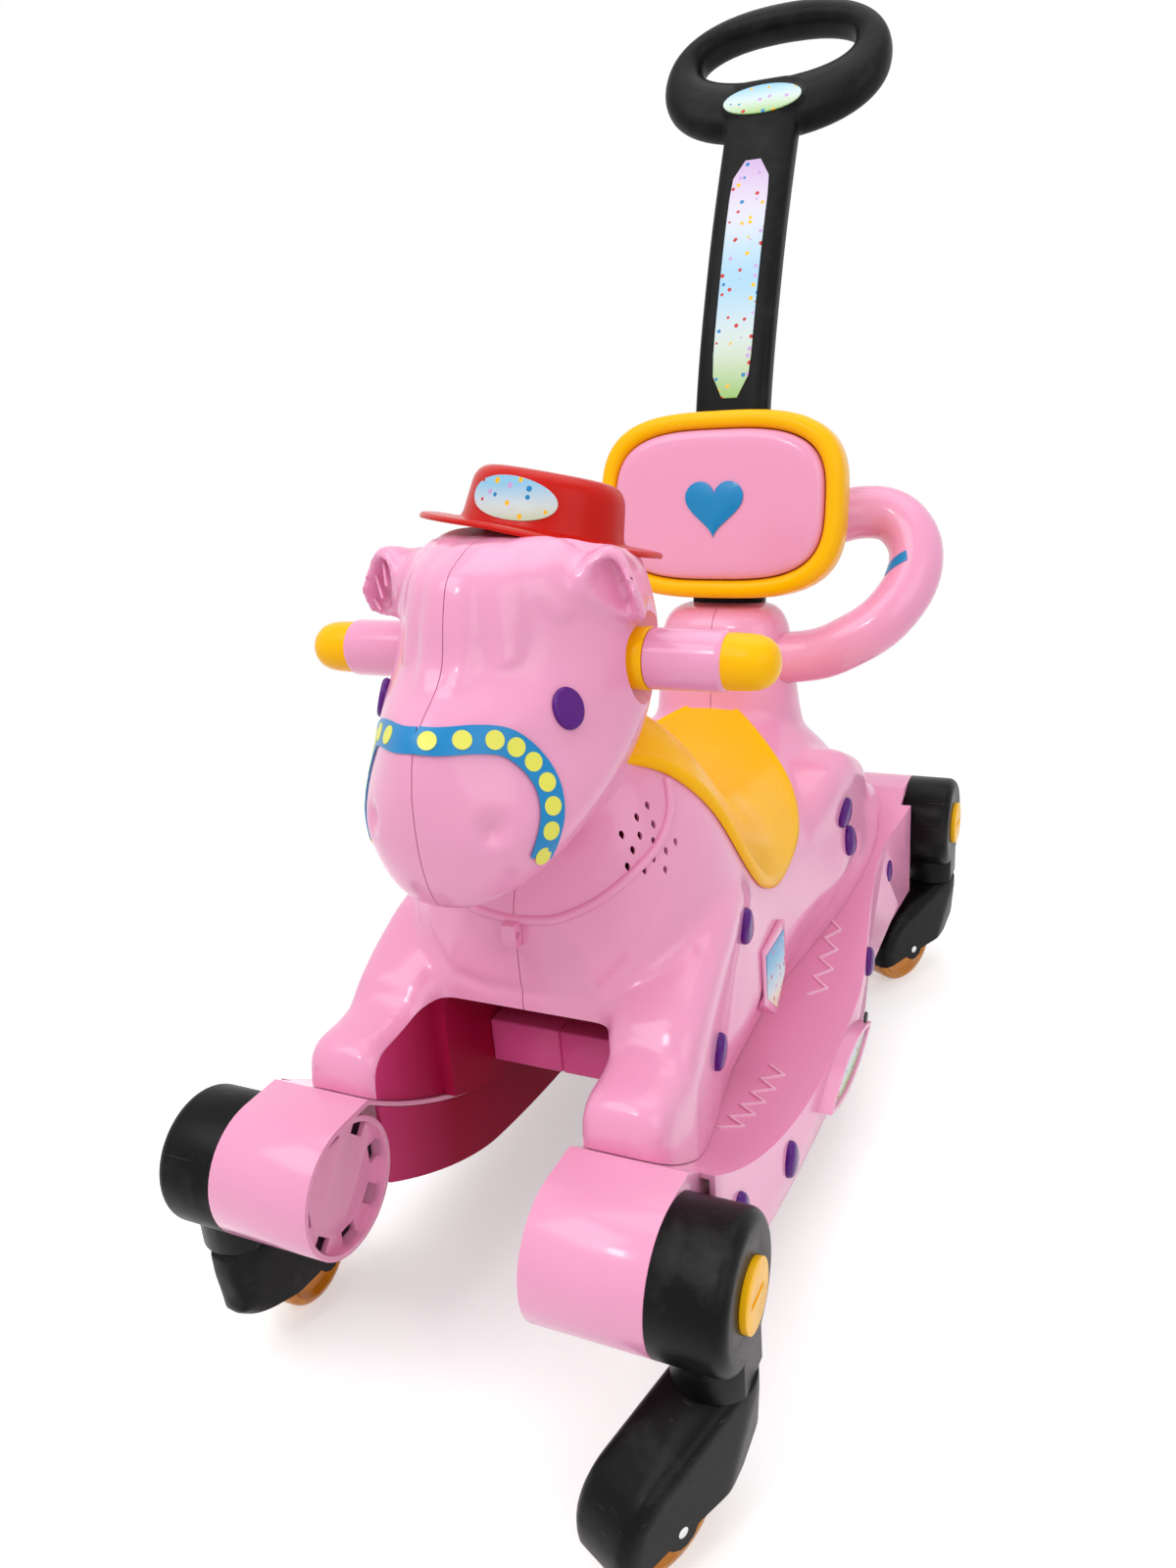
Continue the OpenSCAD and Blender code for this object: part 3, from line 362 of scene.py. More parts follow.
def fill(node, values):
    """Sets plain values on a node's inputs."""
    for socket, value in values.items():
        node.inputs[socket].default_value = value


def add(n, kind, values=None, operation=None, tree=None):
    """A new node with its group or operation and its plain values set."""
    node = n.new(kind)
    if tree:
        node.node_tree = tree
    if operation:
        node.operation = operation
    fill(node, values or {})
    return node


def new_group(name, kind, takes, gives):
    """A node group with its named sockets, its nodes, its link call and its two ends."""
    tree = bpy.data.node_groups.new(name, kind)
    for way, sockets in (("INPUT", takes), ("OUTPUT", gives)):
        for label, sort, *value in sockets:
            socket = tree.interface.new_socket(name=label, in_out=way, socket_type="NodeSocket" + sort)
            if value:
                socket.default_value = value[0]
    n = tree.nodes
    return tree, n, tree.links.new, n.new("NodeGroupInput"), n.new("NodeGroupOutput")


def moulding_group():
    """Slight colour drift, gloss drift and orange peel of a moulded skin."""
    found = bpy.data.node_groups.get("moulded_skin")
    if found:
        return found
    takes = (("Colour", "Color"), ("Drift", "Float", 0.06), ("Gloss", "Float", 0.25),
             ("Scale", "Float", 12.0))
    gives = (("Colour", "Color"), ("Roughness", "Float"), ("Height", "Float"))
    tree, n, link, given, put = new_group("moulded_skin", "ShaderNodeTree", takes, gives)
    place = n.new("ShaderNodeTexCoord")
    cloud = add(n, "ShaderNodeTexNoise", {"Detail": 3})
    link(place.outputs["Object"], cloud.inputs["Vector"])
    link(given.outputs["Scale"], cloud.inputs["Scale"])
    centred = add(n, "ShaderNodeMath", {1: 0.5}, "SUBTRACT")
    link(cloud.outputs["Fac"], centred.inputs[0])
    drift = add(n, "ShaderNodeMath", {2: 1.0}, "MULTIPLY_ADD")
    link(centred.outputs[0], drift.inputs[0])
    link(given.outputs["Drift"], drift.inputs[1])
    tone = n.new("ShaderNodeHueSaturation")
    link(given.outputs["Colour"], tone.inputs["Color"])
    link(drift.outputs[0], tone.inputs["Value"])
    link(tone.outputs["Color"], put.inputs["Colour"])
    gloss = add(n, "ShaderNodeMath", {1: 0.16}, "MULTIPLY_ADD")
    link(centred.outputs[0], gloss.inputs[0])
    link(given.outputs["Gloss"], gloss.inputs[2])
    link(gloss.outputs[0], put.inputs["Roughness"])
    peel = add(n, "ShaderNodeTexNoise", {"Scale": 160, "Detail": 2})
    link(place.outputs["Object"], peel.inputs["Vector"])
    link(peel.outputs["Fac"], put.inputs["Height"])
    return tree


def scuff_group():
    """Mask of dusty rubs and thin scratches."""
    found = bpy.data.node_groups.get("scuffs")
    if found:
        return found
    takes = (("Scale", "Float", 22.0), ("Spread", "Float", 0.5))
    tree, n, link, given, put = new_group("scuffs", "ShaderNodeTree", takes, (("Mask", "Float"),))
    place = n.new("ShaderNodeTexCoord")
    rub = add(n, "ShaderNodeTexNoise", {"Detail": 8, "Roughness": 0.68})
    link(place.outputs["Object"], rub.inputs["Vector"])
    link(given.outputs["Scale"], rub.inputs["Scale"])
    fade = add(n, "ShaderNodeMapRange", {"From Max": 0.78})
    link(rub.outputs["Fac"], fade.inputs["Value"])
    link(given.outputs["Spread"], fade.inputs["From Min"])
    stretch = add(n, "ShaderNodeMapping", {"Scale": (9, 60, 240), "Rotation": (0.5, 0.3, 0.2)})
    link(place.outputs["Object"], stretch.inputs["Vector"])
    lines = add(n, "ShaderNodeTexNoise", {"Scale": 3, "Detail": 4})
    link(stretch.outputs["Vector"], lines.inputs["Vector"])
    thin = add(n, "ShaderNodeMapRange", {"From Min": 0.66, "From Max": 0.74})
    link(lines.outputs["Fac"], thin.inputs["Value"])
    both = add(n, "ShaderNodeMath", operation="MAXIMUM")
    link(fade.outputs["Result"], both.inputs[0])
    link(thin.outputs["Result"], both.inputs[1])
    link(both.outputs[0], put.inputs["Mask"])
    return tree


def mixed(n, link, factor, first, second):
    """Mix of two colours, each a socket or a plain value."""
    mix = n.new("ShaderNodeMix")
    mix.data_type = "RGBA"
    link(factor, mix.inputs[0])
    for socket, value in ((mix.inputs[6], first), (mix.inputs[7], second)):
        if isinstance(value, tuple):
            socket.default_value = value
        else:
            link(value, socket)
    return mix.outputs[2]


def plastic(name, base, gloss=0.22, drift=0.06, peel=0.04, coat=0.0, scuffs=0.0, dust=(0.5, 0.5, 0.49),
            scale=12.0, spread=0.5, transmission=0.0, subsurface=0.0, shine=0.4):
    """A moulded plastic with colour drift, orange peel and, where asked, scuffs."""
    found = bpy.data.materials.get(name)
    if found:
        return found
    mat = bpy.data.materials.new(name)
    mat.use_nodes = True
    n, link = mat.node_tree.nodes, mat.node_tree.links.new
    shader = n["Principled BSDF"]
    skin = add(n, "ShaderNodeGroup", {"Colour": (*base, 1), "Drift": drift, "Gloss": gloss, "Scale": scale},
               tree=moulding_group())
    tint, rough = skin.outputs["Colour"], skin.outputs["Roughness"]
    if scuffs:
        wear = add(n, "ShaderNodeGroup", {"Spread": spread}, tree=scuff_group())
        amount = add(n, "ShaderNodeMath", {1: scuffs}, "MULTIPLY")
        link(wear.outputs["Mask"], amount.inputs[0])
        tint = mixed(n, link, amount.outputs[0], tint, (*dust, 1))
        dull = add(n, "ShaderNodeMath", {1: 0.35}, "MULTIPLY_ADD")
        link(amount.outputs[0], dull.inputs[0])
        link(rough, dull.inputs[2])
        rough = dull.outputs[0]
    link(tint, shader.inputs["Base Color"])
    link(rough, shader.inputs["Roughness"])
    bump = add(n, "ShaderNodeBump", {"Strength": peel, "Distance": 0.4 * MM})
    link(skin.outputs["Height"], bump.inputs["Height"])
    link(bump.outputs["Normal"], shader.inputs["Normal"])
    fill(shader, {"IOR": 1.49, "Specular IOR Level": shine, "Coat Weight": coat, "Coat Roughness": 0.06,
                  "Transmission Weight": transmission, "Subsurface Weight": subsurface,
                  "Subsurface Radius": (1, 0.6, 0.5), "Subsurface Scale": 2 * MM})
    return mat


def pink():
    return plastic("pink_shell", colours().pink, 0.2, 0.05, 0.035, coat=0.2, subsurface=0.06, scale=7)


def painted_shade_pink():
    """Deep pink painted shade of the inner walls, with painted light making it paler towards the open front.
    """
    found = bpy.data.materials.get("painted_shade_pink")
    if found:
        return found
    mat = plastic("painted_shade_pink", colours().inside, 0.5, 0.08, 0.05, scale=9, shine=0.08)
    n, link = mat.node_tree.nodes, mat.node_tree.links.new
    tint = n["Principled BSDF"].inputs["Base Color"]
    place, split = n.new("ShaderNodeTexCoord"), n.new("ShaderNodeSeparateXYZ")
    # Painted light: the shade pales to hot pink towards the open front, where more light reaches in.
    share = add(n, "ShaderNodeMapRange",
                {"From Min": -0.19, "From Max": -0.265, "To Min": 0.0, "To Max": 0.55})
    link(place.outputs["Object"], split.inputs[0])
    link(split.outputs["Y"], share.inputs["Value"])
    link(mixed(n, link, share.outputs["Result"], tint.links[0].from_socket, (*colours().hot_pink, 1)), tint)
    return mat


def yellow():
    return plastic("yellow_moulding", colours().yellow, 0.26, 0.05, 0.04, shine=0.15)


def red():
    return plastic("red_hat", colours().red, 0.27, 0.05, 0.04, shine=0.15)


def purple():
    return plastic("purple_spots", colours().purple, 0.2, 0.08, 0.03, coat=0.06, shine=0.22)


def blue():
    return plastic("blue_film", colours().blue, 0.3, 0.08, 0.03, coat=0.1, scale=40, shine=0.3)


def lemon():
    return plastic("lemon_film", colours().lemon, 0.32, 0.08, 0.03, coat=0.1, scale=60, shine=0.3)


def bar_black():
    return plastic("black_bar", colours().black, 0.42, 0.2, 0.1, scuffs=0.03, scale=20, shine=0.14)


def leg_black():
    return plastic("black_legs", colours().black, 0.36, 0.25, 0.12, scuffs=0.22, dust=(0.11, 0.11, 0.11),
                   scale=18, spread=0.54, shine=0.14)


def amber():
    return plastic("amber_wheels", colours().amber, 0.2, 0.25, 0.05, transmission=0.35, scuffs=0.15,
                   dust=(0.55, 0.4, 0.2), scale=30)


def steel():
    """Plated steel with a fine grain."""
    mat = plastic("pin_steel", colours().steel, 0.32, drift=0.1, peel=0.1)
    fill(mat.node_tree.nodes["Principled BSDF"], {"Metallic": 1})
    return mat

# Shell

# Body from the chest back: its height and its width as shares along its length
CHEST_Y, BODY_LEN, BODY_W, BACK_Z, SHOULDER_Z, RUNNER_Z, BELLY_SHARE = -188, 438, 104, 254, 150, 48, 0.6
BACK = [[0, 1], [0.03, 1.18], [0.08, 1.32], [0.14, 1.37], [0.2, 1.34], [0.3, 1.17], [0.4, 1.04],
        [0.52, 1], [0.65, 1.01], [0.78, 1.05], [0.88, 0.99], [0.95, 0.84], [1, 0.68]]
FLANK = [[0, 0.5], [0.02, 0.65], [0.06, 0.79], [0.12, 0.89], [0.2, 0.94], [0.35, 0.92], [0.5, 0.9],
         [0.62, 0.93], [0.72, 1], [0.82, 0.99], [0.92, 0.84], [1, 0.55]]
# Head from the chin up: its face, middle and nape as shares of its depth, its cheeks of its width
CHIN_Z, HEAD_H, NAPE_Y, HEAD_D, HEAD_W = 284, 161, -95, 172, 74
FACE = [[0, 0.93], [0.04, 0.95], [0.1, 0.975], [0.2, 0.995], [0.3, 1], [0.42, 0.99], [0.54, 0.945],
        [0.67, 0.79], [0.83, 0.735], [0.93, 0.69], [1, 0.58]]
HEAD_MIDDLE = [[0, 0.88], [0.1, 0.76], [0.2, 0.66], [0.3, 0.52], [0.42, 0.38], [0.54, 0.29], [0.67, 0.25],
               [1, 0.25]]
NAPE = [[0, 0.8], [0.06, 0.64], [0.1, 0.48], [0.2, 0.24], [0.3, 0.07], [0.42, 0.0], [0.54, 0], [0.8, 0],
        [0.92, 0.06], [1, 0.16]]
CHEEK = [[0, 0.24], [0.04, 0.42], [0.1, 0.6], [0.2, 0.76], [0.3, 0.85], [0.42, 0.89], [0.54, 0.91],
         [0.67, 0.92], [0.8, 0.88], [0.92, 0.8], [1, 0.6]]
# Sections of the legs: place along the body, top, inner side, outer side, outer side at the runner
FRONT_LEG = [(-253, 172, 66, 98, 98), (-249, 184, 60, 104, 104), (-240, 190, 58, 106, 106),
             (-222, 190, 57, 106, 106), (-208, 192, 56, 106, 104), (-198, 204, 54, 105, 100),
             (-180, 216, 50, 105, 94), (-155, 230, 44, 104, 87), (-125, 241, 40, 102, 80),
             (-95, 244, 40, 98, 73), (-65, 232, 40, 92, 68), (-35, 205, 40, 84, 62)]
REAR_LEG = [(45, 190, 40, 84, 62), (75, 216, 40, 92, 68), (108, 236, 40, 102, 76), (140, 240, 44, 106, 86),
            (170, 226, 50, 107, 95), (192, 200, 54, 106, 103), (206, 186, 57, 106, 106),
            (222, 184, 58, 106, 106), (236, 180, 60, 104, 104), (245, 168, 66, 98, 98)]
LEG_ROUND = 20
# Dome behind the seat: height, half width and half depth of its sections
HUMP_Y = 172
HUMP = [(210, 62, 44), (260, 54, 42), (300, 50, 36), (320, 48, 34), (330, 44, 30), (336, 38, 24),
        (338, 31, 16)]
# Curve of the foot trays: its radius and the height of its centre
FLOOR_R, FLOOR_Z = 425.1, 505.1
# Middle line of the grips, with the depth and radius of their pockets
GRIP_Y, GRIP_Z, POCKET_X, POCKET_R = -142, 380, 56, 18.5
SPEAKER = (68, -158, 286)


def torso_form():
    """Barrel, chest and neck base."""
    rings = []
    for s in (1 - np.cos(np.linspace(0, np.pi, 60))) / 2:
        w, h = BODY_W * through(FLANK, s), BACK_Z * through(BACK, s) - SHOULDER_Z
        a = np.linspace(np.pi / 2, -np.pi / 2, 41)
        y = CHEST_Y + BODY_LEN * s
        p = 1 / np.interp(s, (0.5, 0.72), (1.4, 1.05))
        top = np.stack([w * power(np.sin(a), p), np.full(41, y), SHOULDER_Z + h * np.abs(np.cos(a)) ** p], 1)
        rings.append(np.vstack([[w * BELLY_SHARE, y, RUNNER_Z], top, [-w * BELLY_SHARE, y, RUNNER_Z]]))
    return loft(rings)


def head_form():
    """Head with muzzle, from the chin up."""
    rings = []
    for s in (1 - np.cos(np.linspace(0, np.pi, 56))) / 2:
        front, mid, back = (NAPE_Y - HEAD_D * through(t, s) for t in (FACE, HEAD_MIDDLE, NAPE))
        a = np.linspace(0, 2 * np.pi, 72, endpoint=False)
        facing = np.cos(a) > 0
        p = np.where(facing, 2 / np.interp(s, (0.25, 0.45), (1.9, 1.62)), 2 / 2.3)
        reach = np.where(facing, mid - front, back - mid)
        x = HEAD_W * through(CHEEK, s) * power(np.sin(a), p)
        y = mid - reach * power(np.cos(a), p)
        rings.append(np.stack([x, y, np.full(72, CHIN_Z + HEAD_H * s)], 1))
    return loft(rings)


def leg_form(table):
    """One leg, as arched sections that stand on the tray."""
    rings = []
    places = np.linspace(table[0][0], table[-1][0], 44)
    columns = [np.interp(places, [row[0] for row in table], [row[k] for row in table]) for k in (1, 2, 3, 4)]
    for y, top, inner, outer, base in zip(places, *columns):
        a = np.linspace(0, np.pi, 21)
        mid, half = (inner + outer) / 2, (outer - inner) / 2
        arc = np.stack([mid + half * power(np.cos(a), 2 / 3), np.full(21, y),
                        top - LEG_ROUND + LEG_ROUND * np.sin(a) ** (2 / 3)], 1)
        rings.append(np.vstack([[base, y, RUNNER_Z], arc, [inner, y, RUNNER_Z]]))
    return loft(rings)


def hump_form():
    """Dome behind the seat."""
    return loft([[(x, HUMP_Y + y, z) for x, y in outline(w, d, 2.6, 56)] for z, w, d in HUMP])


def near_path(points, path):
    """Distance of each point to a path of straight stretches."""
    best = np.full(len(points), 1e9)
    for a, b in zip(path[:-1], path[1:]):
        a, b = np.array(a, float), np.array(b, float)
        k = np.clip(((points - a) @ (b - a)) / ((b - a) @ (b - a)), 0, 1)
        best = np.minimum(best, np.linalg.norm(points - a - k[:, None] * (b - a), axis=1))
    return best


# Tufts of the forelock on one side of the seam, seen from the front: across, height and radius
# at the root and at the tip
FORELOCK = [((5, 434, 18), (9, 392, 9)), ((23, 436, 17), (27, 398, 8)), ((35, 436, 15), (45, 414, 6))]
NOSTRIL, BROW = (34, -254, 328), [(47, -217, 380), (50, -212, 386), (54, -206, 388), (59, -198, 385)]
BIB = [(0, -190, 203), (22, -190, 203), (42, -188, 208), (58, -182, 222), (68, -172, 240), (74, -160, 258)]


def sculpt(obj):
    """Forelock, nostrils, brows and the chest's crease as moves along the surface normals."""
    mesh = obj.data
    co = np.zeros(len(mesh.vertices) * 3)
    mesh.vertices.foreach_get("co", co)
    normal = np.zeros(len(mesh.vertices) * 3)
    mesh.vertices.foreach_get("normal", normal)
    points, normal = drawn(co.reshape(-1, 3)), normal.reshape(-1, 3)
    even = points.copy()
    even[:, 0] = np.abs(even[:, 0])
    move = np.zeros(len(points))
    tuft = np.zeros(len(points))
    for root, tip in FORELOCK:
        for x, z, r in np.linspace(root, tip, 14):
            inside = np.clip(1 - np.hypot(even[:, 0] - x, even[:, 2] - z) / r, 0, 0.9) / 0.9
            tuft = np.maximum(tuft, inside * inside * (3 - 2 * inside))
    move += 2.0 * tuft * (even[:, 1] < -165)
    for radius, depth in ((6.5, -5.6), (12, 1.4)):
        move += depth * np.exp(-(np.linalg.norm(even - NOSTRIL, axis=1) / radius) ** 2)
    move += 1.3 * np.exp(-(near_path(even, BROW) / 3) ** 2)
    move -= 1.2 * np.exp(-(near_path(even, BIB) / 4) ** 2)
    points += normal * move[:, None]
    mesh.vertices.foreach_set("co", placed(points).ravel())
    mesh.update()
    return obj


def prism(shape, y0, y1):
    """Points and faces of a flat [x, z] outline between two places along the body."""
    return loft([[(x, y, z) for x, z in shape] for y in (y0, y1)])


def cutter(parts, keep, wall="cut_wall"):
    """Closed forms that are taken from the shell. Faces that stay as walls carry the second material."""
    points, faces = joined(parts)
    marks = [int(keep([points[k] for k in face])) for face in faces]
    obj = piece("shell_cutter", (points, faces), marks=marks)
    for name in ("cut_away", wall):
        obj.data.materials.append(bpy.data.materials.get(name) or bpy.data.materials.new(name))
    return obj


def tray_space():
    """Everything below the trays."""
    places = np.linspace(-300, 300, 61)
    ground = [(v, FLOOR_Z - math.sqrt((FLOOR_R - 0.4) ** 2 - v * v)) for v in places]
    ground += [(300, 20), (-300, 20)]
    return cutter([loft([[(x, v, z) for v, z in ground] for x in (-180, 180)])], lambda face: False)


def channel():
    """The open way between the legs, from end to end, with its sides and roof kept as walls that take the
    deep pink painted shade.
    """
    round_r, half, top = 9, 53, 192
    corner = [(half - round_r + round_r * math.cos(a), top - round_r + round_r * math.sin(a))
              for a in np.linspace(0, math.pi / 2, 9)]
    arch = [(half, 60)] + corner + [(-x, z) for x, z in reversed(corner)] + [(-half, 60)]
    wide = [(x + math.copysign(8, x), z) for x, z in arch]
    parts = [prism(arch, -320, 320), prism(wide, -330, -187), prism(wide, 177, 330)]
    return [cutter([part], lambda face: abs(sum(p[1] for p in face)) < 300 * len(face), "cut_painted_shade")
            for part in parts]


def pockets():
    """The dished places where the grips leave the head."""
    profile = [(0.01, POCKET_X), (POCKET_R - 1.5, POCKET_X), (POCKET_R, POCKET_X + 1),
               (POCKET_R + 12, POCKET_X + 24), (POCKET_R + 12, 120), (0.01, 120)]
    points, faces = lathe(profile, 48)
    parts = [(points[:, (2, 0, 1)] * (sign, 1, 1) + (0, GRIP_Y, GRIP_Z), faces) for sign in (1, -1)]
    return cutter(parts, lambda face: True)


def speaker_holes():
    """Small drops in front of the speaker."""
    centre, out, up = np.array(SPEAKER), np.array((0.82, -0.57, 0)), np.array((0, 0, 1.0))
    across = np.cross(up, out)
    parts = []
    for k in range(14):
        turn = 2.39996 * k
        spot = centre + 5.4 * math.sqrt(k + 0.4) * (across * 0.85 * math.cos(turn) + up * math.sin(turn))
        hole = [(1.3 * math.cos(a) * (0.75 if a > math.pi else 1), 2.2 * math.sin(a))
                for a in np.linspace(0, 2 * math.pi, 10, endpoint=False)]
        parts.append(loft([[spot + out * d + across * u + up * v for u, v in hole] for d in (-22, 22)]))
    return cutter(parts, lambda face: False)


def hat_seat():
    """The top of the head that the hat covers."""
    rings = [hat_place(brim_ring(-1.5, z)) for z in (0.8, 60)]
    return cutter([loft(rings)], lambda face: True)


# Left ear: its rim from forehead to grip, its root in the head, the fold and depth of its hollow
EAR_RIM = [(47, -186, 424), (53, -180, 438), (63, -173, 445), (70, -173, 440), (75, -176, 430),
           (80, -177, 418), (80, -170, 404)]
EAR_ROOT = [(46, -150, 432), (50, -135, 434), (58, -128, 424), (62, -124, 408), (58, -150, 398)]
EAR_FOLD = [(56, -185, 427), (61, -185, 420), (66, -183, 411), (71, -177, 404)]
EAR_DEEP = [(60, -164, 434), (64, -161, 427), (67, -160, 415), (68, -163, 407)]


def ear_scoop():
    """The hollow of the left ear, open to the front."""
    middle = np.array((66, -172, 421.0))
    rim = [middle + (np.array(p) - middle) * 0.72 + (0, -3, 0) for p in EAR_RIM]
    return hull_part(np.vstack([rim, EAR_FOLD, EAR_DEEP]))


def shell_solid():
    """The whole shell as one blended solid."""
    parts = [torso_form(), head_form(), hump_form()]
    for form in (leg_form(FRONT_LEG), leg_form(REAR_LEG), hull_part(np.vstack([EAR_RIM, EAR_ROOT]))):
        parts += [form, mirrored(form)]
    obj = piece("shell", joined(parts))
    blended(obj, sizes().shell_voxel, 12)
    for scoop in (ear_scoop(), mirrored(ear_scoop())):
        cut(obj, piece("ear_scoop", scoop))
    blended(obj, sizes().shell_voxel, 5)
    return sculpt(obj)


class Surface:
    """Finds places on a surface by rays."""

    def __init__(self, obj):
        self.tree = BVHTree.FromObject(obj, bpy.context.evaluated_depsgraph_get())

    def hit(self, start, direction):
        """Outermost place and normal along a ray from inside, in drawing sizes."""
        start, direction = np.array(start, float), np.array(direction, float)
        direction /= np.linalg.norm(direction)
        far = start + direction * 400
        spot, normal, _, _ = self.tree.ray_cast(Vector(placed(far)[0]), Vector(-direction))
        if spot is None:
            raise RuntimeError(f"no surface along {direction} from {start}")
        return drawn(spot)[0], np.array(normal)

    def nearest(self, point):
        """Nearest place and normal, in drawing sizes."""
        spot, normal, _, _ = self.tree.find_nearest(Vector(placed(point)[0]))
        return drawn(spot)[0], np.array(normal)


# Surfaces that later pieces are laid on
SKIN = {}


def open_shell(obj):
    """Cuts the solid open, leaves its skin and gives that a wall."""
    obj.data.materials.append(pink())
    for taken in (tray_space(), *channel(), pockets(), speaker_holes(), hat_seat()):
        cut(obj, taken)
    names = [m.name if m else "" for m in obj.data.materials]
    gone = {i for i, name in enumerate(names) if name == "cut_away"}
    bm = bmesh.new()
    bm.from_mesh(obj.data)
    bmesh.ops.delete(bm, geom=[f for f in bm.faces if f.material_index in gone], context="FACES")
    # Faces left by the channel's walls take the deep pink painted shade.
    marks = [int(names[f.material_index] == "cut_painted_shade") for f in bm.faces]
    bm.to_mesh(obj.data)
    bm.free()
    obj.data.materials.clear()
    obj.data.polygons.foreach_set("material_index", marks)
    return obj


def shell_half(obj, name, sign, node):
    """One half of the shell, from the seam out."""
    mesh = obj.data.copy()
    mesh.materials.append(pink())
    mesh.materials.append(painted_shade_pink())
    half = stand(name, mesh)
    bm = bmesh.new()
    bm.from_mesh(mesh)
    bmesh.ops.bisect_plane(bm, geom=bm.verts[:] + bm.edges[:] + bm.faces[:], dist=1e-6,
                           plane_co=(sign * sizes().seam_gap / 2, 0, 0), plane_no=(-sign, 0, 0),
                           clear_outer=True)
    bm.to_mesh(mesh)
    bm.free()
    wall = half.modifiers.new("wall", "SOLIDIFY")
    wall.thickness = sizes().shell_wall
    wall.offset = -1
    # The inner face of the wall takes the deep pink painted shade.
    wall.material_offset = 1
    baked(half)
    smooth_shaded(half, 50)
    return settle(half, None, "horse", "shell_pink", node)


class HORSE_OT_shell(bpy.types.Operator):
    """Builds the two shell halves with the face, legs and speaker grid"""

    bl_idname = "horse.shell"
    bl_label = "Shell"

    def execute(self, context):
        parts = [torso_form()]
        for form in (leg_form(FRONT_LEG), leg_form(REAR_LEG)):
            parts += [form, mirrored(form)]
        back = blended(piece("back", joined(parts)), sizes().shell_voxel, 10)
        SKIN["back"] = Surface(back)
        bpy.data.objects.remove(back)
        solid = shell_solid()
        SKIN["shell"] = Surface(solid)
        open_shell(solid)
        shell_half(solid, "shell_left", 1, "body_left")
        shell_half(solid, "shell_right", -1, "body_right")
        bpy.data.objects.remove(solid)
        return {"FINISHED"}


# Collar bead, ear ribs and lug on the shell


def tube_on(path, radius, count=10):
    """A round bead along a path."""
    return sweep(path, outline(radius, radius, 2, count), (0.02, 0.3, 1))


def on_skin(path, count):
    """A smooth path that is laid on the shell."""
    return np.array([SKIN["shell"].nearest(p)[0] for p in along(path, count)])


COLLAR = [(0, -190, 247), (23, -189, 250), (43, -182, 258), (60, -170, 271), (71, -154, 284), (73, -140, 298),
          (69, -132, 312)]
EAR_RIB_R = 1.1


class HORSE_OT_head_trim(bpy.types.Operator):
    """Adds the collar bead, the ribs in the right ear and the pull lug"""

    bl_idname = "horse.head_trim"
    bl_label = "Head trim"

    def execute(self, context):
        left = on_skin(COLLAR, 40)
        bead = tube_on(np.vstack([(left * (-1, 1, 1))[:0:-1], left]), sizes().bead_radius / MM)
        settle(smooth_shaded(piece("collar_bead", bead)), pink(), "horse", "shell_pink")
        bars = []
        fold, rim = along(EAR_FOLD, 9), along(EAR_RIM[2:], 9)
        for k in (2, 4, 6):
            path = [fold[k] + (1, 9, 0), (fold[k] + rim[k]) / 2 + (0, 9, 1), rim[k] + (-4, 5, 0)]
            bars.append(tube_on(path, EAR_RIB_R))
        ribs = mirrored(joined(bars))
        settle(smooth_shaded(piece("ear_ribs", ribs), 60), pink(), "horse", "shell_pink")
        rounded_copy("pull_eye", 1.0 * MM, pink(), "shell_pink")
        return {"FINISHED"}


# Saddle

# How far the saddle reaches down each side: place along the body and angle from upright
SADDLE_FLAP = [(-158, 14), (-138, 20), (-118, 27), (-99, 34), (-76, 45), (-51, 55), (-18, 61.5), (18, 61.5),
               (50, 57), (78, 46), (100, 32), (125, 17), (148, 5)]


def saddle_part():
    """Saddle laid on the back, thicker along its rim."""
    rows, cols = 96, 61
    places = np.linspace(SADDLE_FLAP[0][0], SADDLE_FLAP[-1][0], rows)
    flap = np.radians(through(SADDLE_FLAP, places))
    share = np.linspace(-1, 1, cols)
    base = np.array([[SKIN["back"].hit((0, y, SHOULDER_Z), (math.sin(reach * k), 0, math.cos(reach * k)))[0]
                      for k in share] for y, reach in zip(places, flap)])
    for turn in range(96):
        even = (base[:-2, 1:-1] + base[2:, 1:-1] + base[1:-1, :-2] + base[1:-1, 2:]) / 4
        base[1:-1, 1:-1] = even
        flat = [SKIN["back"].nearest(p) for p in base.reshape(-1, 3)] if turn % 16 == 15 else []
        for i, (spot, normal) in enumerate(flat):
            under = (base[i // cols, i % cols] - spot) @ normal
            base[i // cols, i % cols] += normal * max(0, 0.4 - under)
    across, ahead = np.gradient(base, axis=1), np.gradient(base, axis=0)
    normal = np.cross(ahead, across)
    normal *= np.sign(normal[rows // 2, cols // 2, 2]) / np.linalg.norm(normal, axis=2)[..., None]
    low, high = [], []
    for i, reach in enumerate(flap):
        for j, k in enumerate(share):
            inside = min((1 - abs(k)) * reach * 110, min(i, rows - 1 - i) * (places[1] - places[0]))
            rim = sizes().saddle_rim / MM * math.exp(-((inside - 5) / 2.6) ** 2)
            thick = min(1, 0.35 + inside / 3) * sizes().saddle_thick / MM
            low.append(base[i, j])
            high.append(base[i, j] + normal[i, j] * (thick + rim))
    n = rows * cols
    faces = []
    for i in range(rows - 1):
        for j in range(cols - 1):
            q = (i * cols + j, i * cols + j + 1, (i + 1) * cols + j + 1, (i + 1) * cols + j)
            faces += [q, tuple(k + n for k in reversed(q))]
    border = list(range(cols)) + [i * cols + cols - 1 for i in range(1, rows)]
    border += [(rows - 1) * cols + j for j in range(cols - 2, -1, -1)]
    border += [i * cols for i in range(rows - 2, 0, -1)]
    for a, b in zip(border, border[1:] + border[:1]):
        faces.append((a, b, b + n, a + n))
    return np.array(low + high), faces


